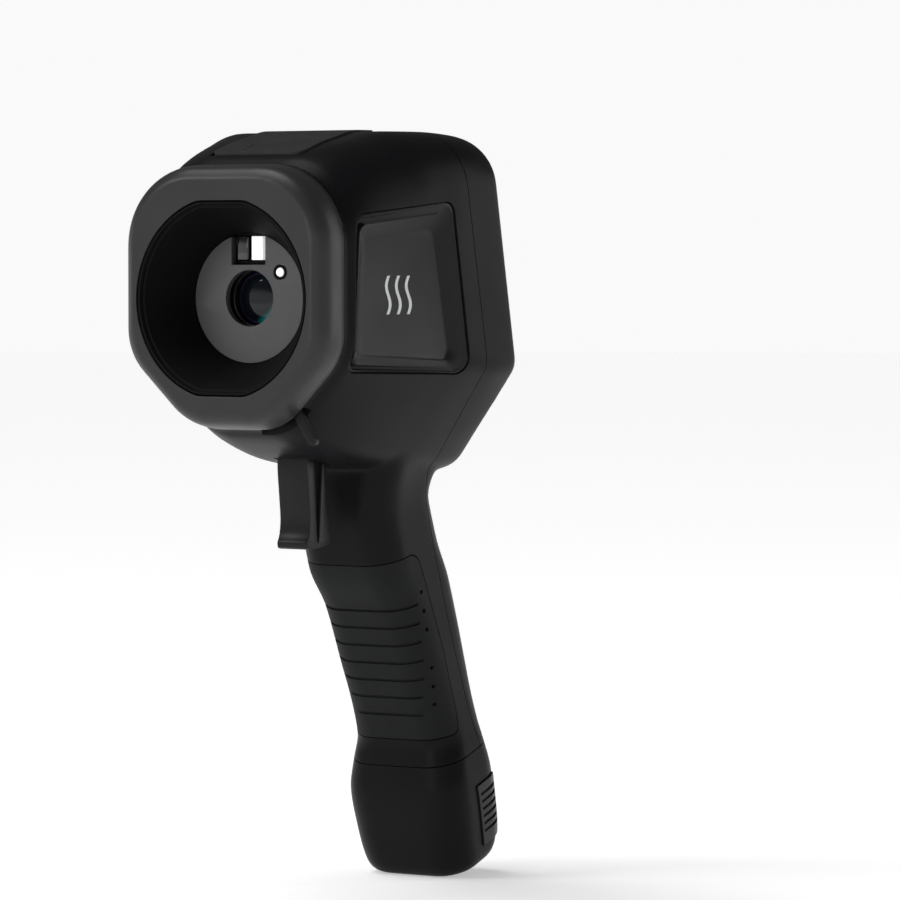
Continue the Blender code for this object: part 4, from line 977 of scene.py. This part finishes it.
class THERMAL_OT_panels(CameraOperator, bpy.types.Operator):
    """Make the dished side panels and their plain heat-wave sign"""
    bl_idname = "thermal.panels"
    bl_label = "Side panels"

    def execute(self, context):
        shop = self.shop()
        form = head_form("probe", 0.0, 3.0)
        reach = SkinReach(form)
        bpy.data.objects.remove(form, do_unlink=True)
        rim = rounded_loop([(y + dy, z + dz) for (y, z), dy, dz in
                            zip(POCKET, (GAP, -GAP, -GAP, GAP), (-GAP, -GAP, GAP, GAP))], [3.8] * 4, 6)
        plate = rounded_loop(POCKET_PLATE, [3.0, 4.0, 4.0, 3.0], 6)
        for side, tag in ((1, "left"), (-1, "right")):

            def ring(share, sunk, on_floor, dip=0.0):
                """Loop between the rim (share 0) and the plate (share 1), dipped at its front."""
                points = []
                for (ya, za), (yb, zb) in zip(rim, plate):
                    y, z = ya + (yb - ya) * share, za + (zb - za) * share
                    front = min(max((PANEL_FRONT - ya) / 3.0, 0.0), 1.0)
                    x = reach(y, z) - sunk - dip * front
                    points.append((side * (min(pocket_floor(y) + on_floor, x)), y, z))
                return points

            rings = [ring(0.0, 2.2, GAP), ring(0.0, 0.5, OPEN), ring(0.12, 0.4, OPEN),
                     ring(0.2, 0.9, OPEN, 1.1), ring(0.36, 1.3, OPEN, 1.1), ring(0.46, 1.6, OPEN, -0.9),
                     ring(0.62, 2.0, OPEN, -1.2), ring(0.94, 1.5, 1.6), ring(1.0, 1.7, 1.25)]
            middle = [(x, y + (PANEL_MIDDLE[0] - y) * 0.03, z + (PANEL_MIDDLE[1] - z) * 0.03)
                      for x, y, z in ring(1.0, 1.8, 1.05)]
            rings.append(middle)
            tray = skin("tray", rings)
            self.sign(side, tag, shop.mark, SkinReach(tray, side))
            piece(tray, "side_plate_" + tag, "housing",
                  ["side_panel_" + tag], shop.panel, 28.0)
        return {"FINISHED"}

    def sign(self, side, tag, finish, plate):
        """Three plain rising waves."""
        whole = None
        for row in range(3):
            centre = -33.5 + row * 5.0
            path = [(centre + 1.1 * math.sin(k / 12 * 2 * math.pi), 186.0 + k) for k in range(13)]
            half = 0.65
            outline = [(y - half, z) for y, z in path] + [(y + half, z) for y, z in reversed(path)]
            rings = [[(side * (plate(y, z) + lift), y, z) for y, z in outline] for lift in (-0.2, 0.12)]
            wave = skin("wave", rings)
            whole = wave if whole is None else cut(whole, wave, "UNION")
        piece(whole, "wave_sign_" + tag, "housing", [], finish)


class THERMAL_OT_fittings(CameraOperator, bpy.types.Operator):
    """Make the connector cover, grip sleeve and trigger"""
    bl_idname = "thermal.fittings"
    bl_label = "Cover, sleeve and trigger"

    def execute(self, context):
        self.cover()
        self.sleeve()
        self.trigger()
        return {"FINISHED"}

    def cover(self):
        plan = rounded_loop([(-COVER_HALF, COVER_FRONT), (COVER_HALF, COVER_FRONT),
                             (COVER_HALF, COVER_REAR), (-COVER_HALF, COVER_REAR)], [3.5, 3.5, 0.8, 0.8], 6)
        lid = prism("lid", plan, ROOF_LOW, ROOF_HIGH, PLAIN)
        cut(lid, head_form("c", 0.55), "INTERSECT")
        cut(lid, head_form("c", -1.5))
        for front in (-46.8, -44.4, -42.0):
            groove = block("groove", (-7.0, front, 226.0), (7.0, front + 1.0, 260.0))
            cut(groove, head_form("c", 0.1))
            cut(lid, groove)
        piece(lid, "roof_cover", "cover", ["connector_cover"], self.shop().cover)

    def sleeve(self):
        wrap = sleeve_zone(0.0, -1.4, 0.0)
        for k in range(7):
            low = 56.2 + 6.5 * k
            groove = grip_form("c", 1.0, low, low + 1.0, 0.0, 0.5)
            cut(groove, grip_form("c2", -0.55, low - 1.0, low + 2.0, 0.0, 1.0))
            cut(groove, block("c3", (-40, -40, low - 2), (40, -8.5, low + 3), HANDLE), "INTERSECT")
            cut(wrap, groove)
        for along, deep in ((99.0, 1.0), (92.5, 1.0), (86.0, 1.0), (72.6, 0.55), (66.0, 0.55), (59.7, 0.55)):
            y, z = grip_yz(along, -6.3)
            cut(wrap, disc("c", 0.75 * deep ** 0.3, -40.0, 40.0, SIDE, (y, z), 20))
        piece(wrap, "grip_wrap", "housing", ["grip_sleeve"], self.shop().grip)

    def trigger(self):
        loop = flowing(TRIGGER)
        body = prism("trigger body", loop, -TRIGGER_HALF, TRIGGER_HALF, SIDE)
        for side in (-1, 1):
            groove = flowing([(-25.2, 150.0), (-20.6, 150.0), (-20.2, 140.0), (-21.2, 128.0),
                              (-22.2, 115.2), (-23.4, 114.8), (-24.2, 128.0), (-24.9, 140.0)])
            cut(body, prism("c", groove, side * 3.9, side * 7.0, SIDE))
        y, z = (value / MILLI for value in JOINTS["trigger_pull"]["pos_m"][1:])
        cut(body, disc("c", 1.25, -12.0, 12.0, SIDE, (y, z), 32))
        soften(body, 0.7)
        piece(body, "trigger_blade", "trigger", ["trigger"], self.shop().panel)


class THERMAL_OT_display(CameraOperator, bpy.types.Operator):
    """Make the display glass, its picture and the plaque"""
    bl_idname = "thermal.display"
    bl_label = "Display"

    def execute(self, context):
        shop = self.shop()
        low, high = -2.3, -0.5
        glass = prism("glass", mirrored_loop(GLASS, GLASS_RADII, 12), low, high, DISPLAY)
        cut(glass, prism("c", oblong(SCREEN_W + 0.6, SCREEN_H + 0.6, 1.6, (0, SCREEN_U)), BEHIND, 4, DISPLAY))
        key_openings(glass, 4)
        soften(glass, 0.2, 2)
        piece(glass, "display_glass", "housing", ["display_bezel"], shop.bezel)
        picture = prism("c", oblong(SCREEN_W, SCREEN_H, 1.3, (0, SCREEN_U)), low, high, DISPLAY)
        piece(soften(picture, 0.12, 2), "display_picture", "housing",
              ["screen"], shop.screen)
        badge = [(9.7, 38.1), (8.0, 32.7)]
        plaque = prism("c", mirrored_loop(badge, [0.6, 0.6], 4), high + GAP, high + 0.8, DISPLAY)
        piece(soften(plaque, 0.15, 2), "plaque", "housing", ["name_plate"], shop.plaque)
        return {"FINISHED"}


class THERMAL_OT_keys(CameraOperator, bpy.types.Operator):
    """Make the keys, the navigation pad and the power key"""
    bl_idname = "thermal.keys"
    bl_label = "Keys"

    def execute(self, context):
        shop = self.shop()
        top = 0.0
        for side, name in ((1, "archive_key"), (-1, "back_key")):
            key = soften(prism("c", key_outline(side, 0.0), -4.9, top, DISPLAY), 0.45)
            piece(key, name + "_cap", name, [name], shop.keys)
        self.archive_sign(top, shop.mark)
        self.back_sign(top, shop.mark)
        pad = prism("pad", oblong(NAV_W, NAV_H, 3.6, (0, NAV_U)), -3.4, top + 0.5, DISPLAY)
        hole = oblong(SELECT_W + PAD_ROOM, SELECT_W + PAD_ROOM, 2.2, (0, NAV_U))
        cut(pad, prism("c", hole, BEHIND, 4, DISPLAY))
        piece(soften(pad, 0.9, 4), "nav_ring", "nav_pad", ["nav_pad"], shop.pad)
        select = prism("c", oblong(SELECT_W, SELECT_W, 1.8, (0, NAV_U)), -4.9, top + 0.2, DISPLAY)
        hollow = turned("c", [(0.05, -0.35), (2.2, -0.2), (3.6, 0.2), (3.6, 2.0), (0.05, 2.0)],
                        DISPLAY, (0, NAV_U))
        cut(select, hollow)
        piece(soften(select, 0.4), "select_cap", "select_key", ["select_key"], shop.keys)
        power = disc("c", POWER_R, -4.9, top, DISPLAY, POWER_AT)
        piece(soften(power, 0.4), "power_cap", "power_key", ["power_key"], shop.recess)
        dome = [(0.05, 0.75), (0.7, 0.72), (1.3, 0.6), (1.7, 0.35), (1.7, 0.05), (0.05, 0.05)]
        piece(turned("c", dome, DISPLAY, POWER_AT, 32), "power_dot", "power_key",
              ["power_light"], shop.glow)
        return {"FINISHED"}

    def archive_sign(self, top, finish):
        """Small framed picture, split in two."""
        sign = prism("c", oblong(5.2, 3.4, 0.3, (KEY_X, KEY_U)), top - 0.05, top + 0.06, DISPLAY)
        for shift in (-1.15, 1.15):
            hole = oblong(1.5, 2.3, 0.15, (KEY_X + shift, KEY_U))
            cut(sign, prism("c", hole, -1.0, 1.0, DISPLAY))
        piece(sign, "archive_sign", "archive_key", [], finish)

    def back_sign(self, top, finish):
        """Arrow that turns back."""
        arc = [math.radians(-60 + 150 * k / 10) for k in range(11)]
        u, x = KEY_U - 0.2, -KEY_X - 0.6
        outline = [(x - 1.7 * math.cos(a), u + 1.7 * math.sin(a)) for a in arc]
        outline += [(x + 0.9, u + 1.7), (x + 0.9, u + 1.1)]
        outline += [(x - 1.1 * math.cos(a), u + 1.1 * math.sin(a)) for a in arc[::-1]]
        bow = prism("c", outline, top - 0.05, top + 0.06, DISPLAY)
        head = prism("c", [(x + 0.7, u + 2.6), (x + 2.6, u + 1.4), (x + 0.7, u + 0.2)],
                     top - 0.05, top + 0.06, DISPLAY)
        cut(bow, head, "UNION", "EXACT")
        piece(bow, "back_sign", "back_key", [], finish)


class THERMAL_OT_latches(CameraOperator, bpy.types.Operator):
    """Make the two ribbed battery latches"""
    bl_idname = "thermal.latches"
    bl_label = "Battery latches"

    def execute(self, context):
        for side, tag in ((1, "left"), (-1, "right")):
            low, high = span("latch_" + tag, HANDLE)
            latch = grip_form("latch", 0.5, low[2], high[2], 0.0, 1.0)
            cut(latch, block("c", (side * 18.2, low[1], low[2] - 5), (side * 40, high[1], high[2] + 5),
                             HANDLE), "INTERSECT")
            for k in range(6):
                at = low[2] + 4.2 + 2.6 * k
                rib = grip_form("c", 1.5, at, at + 1.1, 0.0, 0.5)
                cut(rib, grip_form("c2", -0.1, at - 1.0, at + 2.0, 0.0, 1.0))
                cut(rib, block("c3", (side * 10, low[1] + 1.2, at - 2), (side * 40, high[1] - 1.2, at + 3),
                               HANDLE), "INTERSECT")
                cut(latch, rib)
            piece(latch, "latch_pad_" + tag, "latch_" + tag, ["latch_" + tag],
                  self.shop().panel)
        return {"FINISHED"}


class THERMAL_OT_inside(CameraOperator, bpy.types.Operator):
    """Give the pieces inside their finishes"""
    bl_idname = "thermal.inside"
    bl_label = "Pieces inside"

    def execute(self, context):
        shop = self.shop()
        kept = {
            shop.housing: ["optics_block"],
            shop.black_metal: ["shutter_blade", "calibration_flag"],
            shop.alloy: ["lens_frame", "sensor_core", "flag_motor", "display_module", "nav_carrier"],
            shop.steel: ["usb_socket", "trigger_pin"],
            shop.board: ["sensor_board", "main_board", "keypad_board", "grip_board"],
            shop.chip: ["board_chips", "trigger_switch"],
            shop.sleeve: ["battery_cells"],
            shop.gold: ["battery_contacts", "dock_contacts"],
            shop.glow: ["charge_light"],
        }
        for finish, names in kept.items():
            for name in names:
                slots = frame["nodes"][name].data.materials
                if not slots:
                    slots.append(finish)
                for index in range(len(slots)):
                    slots[index] = finish
        return {"FINISHED"}


class THERMAL_OT_stage(CameraOperator, bpy.types.Operator):
    """Set the floor, the soft lights and the camera"""
    bl_idname = "thermal.stage"
    bl_label = "Stage"

    def execute(self, context):
        sizes = context.scene.thermal_sizes
        floor = prism("floor", round_outline(FLOOR_R, (0, 0), 96), -3.0, 0.0, PLAIN)
        finish = Shop("pale floor", (0.86, 0.86, 0.86), 0.6, specular_ior_level=0.0,
                      emission_strength=0.41)
        finish.put("Emission Color", (1.0, 1.0, 1.0, 1.0))
        finish.put("Roughness", (finish.noise(40.0) * 0.1 + 0.55).clamped())
        floor.data.materials.append(finish.material)
        context.scene.view_settings.view_transform = "Standard"
        self.light("key", (-1.3, -1.5, 1.25), (0.8, 0.6), 13.0)
        self.sun("roof", (-0.5, -0.35, 1.6), 40.0, 1.65)
        self.light("rim", (1.5, 1.5, 0.5), (0.3, 1.6), 7.0)
        self.light("wash", (1.3, -1.9, 0.35), (0.2, 0.9), 0.8)
        self.light("spark", (0.05, -1.6, 0.38), (0.2, 0.3), 3.0)
        self.sky(context)
        self.camera(context, sizes)
        return {"FINISHED"}

    def light(self, name, at, size, power):
        data = bpy.data.lights.new(name, "AREA")
        data.shape, data.size, data.size_y, data.energy = "RECTANGLE", size[0], size[1], power
        self.hang(name, data, at, LIT_POINT)

    def sun(self, name, at, spread, power):
        data = bpy.data.lights.new(name, "SUN")
        data.angle, data.energy = math.radians(spread), power
        self.hang(name, data, at, (0.0, 0.0, 0.0))

    def hang(self, name, data, at, target):
        made = bpy.data.objects.new(name, data)
        bpy.context.scene.collection.objects.link(made)
        made.location = at
        made.rotation_euler = (Vector(target) - Vector(at)).to_track_quat("-Z", "Y").to_euler()

    def sky(self, context):
        """Bright at the horizon, dim overhead, so that black plastic stays black."""
        world = bpy.data.worlds.new("studio")
        context.scene.world = world
        world.use_nodes = True
        nodes = Nodes(world.node_tree)
        place = nodes.add("ShaderNodeTexCoord", {}, {}).out("Generated")
        rise = nodes.add("ShaderNodeSeparateXYZ", {}, {0: place}).out("Z")
        stops = [(at, (level, level, level)) for at, level in SKY_STOPS]
        ramp = nodes.add("ShaderNodeValToRGB", {"stops": stops}, {0: rise * 0.5 + 0.5}).out("Color")
        world.node_tree.links.new(ramp.socket, world.node_tree.nodes["Background"].inputs["Color"])

    def camera(self, context, sizes):
        turn, lift = sizes.view_turn, sizes.view_lift
        target = Vector((0.0, 0.0, cad_box[1].z / 2.0))
        back = Vector((math.sin(turn) * math.cos(lift), -math.cos(turn) * math.cos(lift),
                       math.sin(lift)))
        right = Vector((math.cos(turn), math.sin(turn), 0.0))
        data = bpy.data.cameras.new("camera")
        data.sensor_width, data.lens = 36.0, sizes.view_lens
        data.clip_end = 50.0
        made = bpy.data.objects.new("camera", data)
        context.scene.collection.objects.link(made)
        made.location = target + back * sizes.view_distance
        aim = target + right * sizes.view_right + Vector((0.0, 0.0, sizes.view_up)) - made.location
        made.rotation_euler = aim.to_track_quat("-Z", "Y").to_euler()
        context.scene.camera = made


class ThermalSizes(bpy.types.PropertyGroup):
    """Sizes that a user would change."""
    skin_pitch: FloatProperty(name="Skin pitch", description="Mesh size of the outer skin",
                              default=0.001, min=0.0005, unit="LENGTH")
    neck_height: FloatProperty(name="Neck height", description="Height where grip and head blend",
                               default=0.138, unit="LENGTH")
    neck_front: FloatProperty(name="Neck front", description="Nothing ahead of this is blended",
                              default=-0.044, unit="LENGTH")
    neck_reach: FloatProperty(name="Neck reach", description="How far the blend reaches",
                              default=0.02, unit="LENGTH")
    neck_steps: IntProperty(name="Neck steps", description="How strongly the neck is blended",
                            default=24, min=0)
    view_turn: FloatProperty(name="View turn", description="Camera's angle round the object",
                             default=math.radians(32.4), subtype="ANGLE")
    view_lift: FloatProperty(name="View lift", description="Camera's angle above the horizon",
                             default=math.radians(3.0), subtype="ANGLE")
    view_distance: FloatProperty(name="View distance", description="Camera's distance",
                                 default=1.55, unit="LENGTH")
    view_right: FloatProperty(name="View right", description="Aim to the right of the object",
                              default=0.0347, unit="LENGTH")
    view_up: FloatProperty(name="View up", description="Aim above the object's middle",
                           default=0.0199, unit="LENGTH")
    view_lens: FloatProperty(name="View lens", description="Focal length in millimetres", default=193.0)


class ThermalColours(bpy.types.PropertyGroup):
    """Colours that a user would change."""
    housing: FloatVectorProperty(name="Housing", description="Main plastic", subtype="COLOR",
                                 default=(0.006, 0.006, 0.007))
    shroud: FloatVectorProperty(name="Shroud", description="Ring round the lens", subtype="COLOR",
                                default=(0.020, 0.020, 0.021))
    cover: FloatVectorProperty(name="Cover", description="Rubber cover on the roof", subtype="COLOR",
                               default=(0.024, 0.024, 0.025))


OPERATORS = (THERMAL_OT_housings, THERMAL_OT_lens, THERMAL_OT_shutter, THERMAL_OT_panels,
             THERMAL_OT_fittings, THERMAL_OT_display, THERMAL_OT_keys, THERMAL_OT_latches,
             THERMAL_OT_inside, THERMAL_OT_stage)


class THERMAL_PT_finish(bpy.types.Panel):
    """Lists the steps and their sizes"""
    bl_idname = "THERMAL_PT_finish"
    bl_label = "Thermal camera"
    bl_space_type = "VIEW_3D"
    bl_region_type = "UI"
    bl_category = "Thermal camera"

    def draw(self, context):
        layout = self.layout
        for group in (context.scene.thermal_sizes, context.scene.thermal_colours):
            for name in group.__annotations__:
                layout.prop(group, name)
        for operator in OPERATORS:
            layout.operator(operator.bl_idname)


CLASSES = (ThermalSizes, ThermalColours, *OPERATORS, THERMAL_PT_finish)


def register():
    for item in CLASSES:
        bpy.utils.register_class(item)
    bpy.types.Scene.thermal_sizes = PointerProperty(type=ThermalSizes)
    bpy.types.Scene.thermal_colours = PointerProperty(type=ThermalColours)


def unregister():
    del bpy.types.Scene.thermal_colours
    del bpy.types.Scene.thermal_sizes
    for item in reversed(CLASSES):
        bpy.utils.unregister_class(item)


def main():
    register()
    for operator in OPERATORS:
        getattr(bpy.ops.thermal, operator.bl_idname.split(".")[1])()


if __name__ == "__main__":
    main()
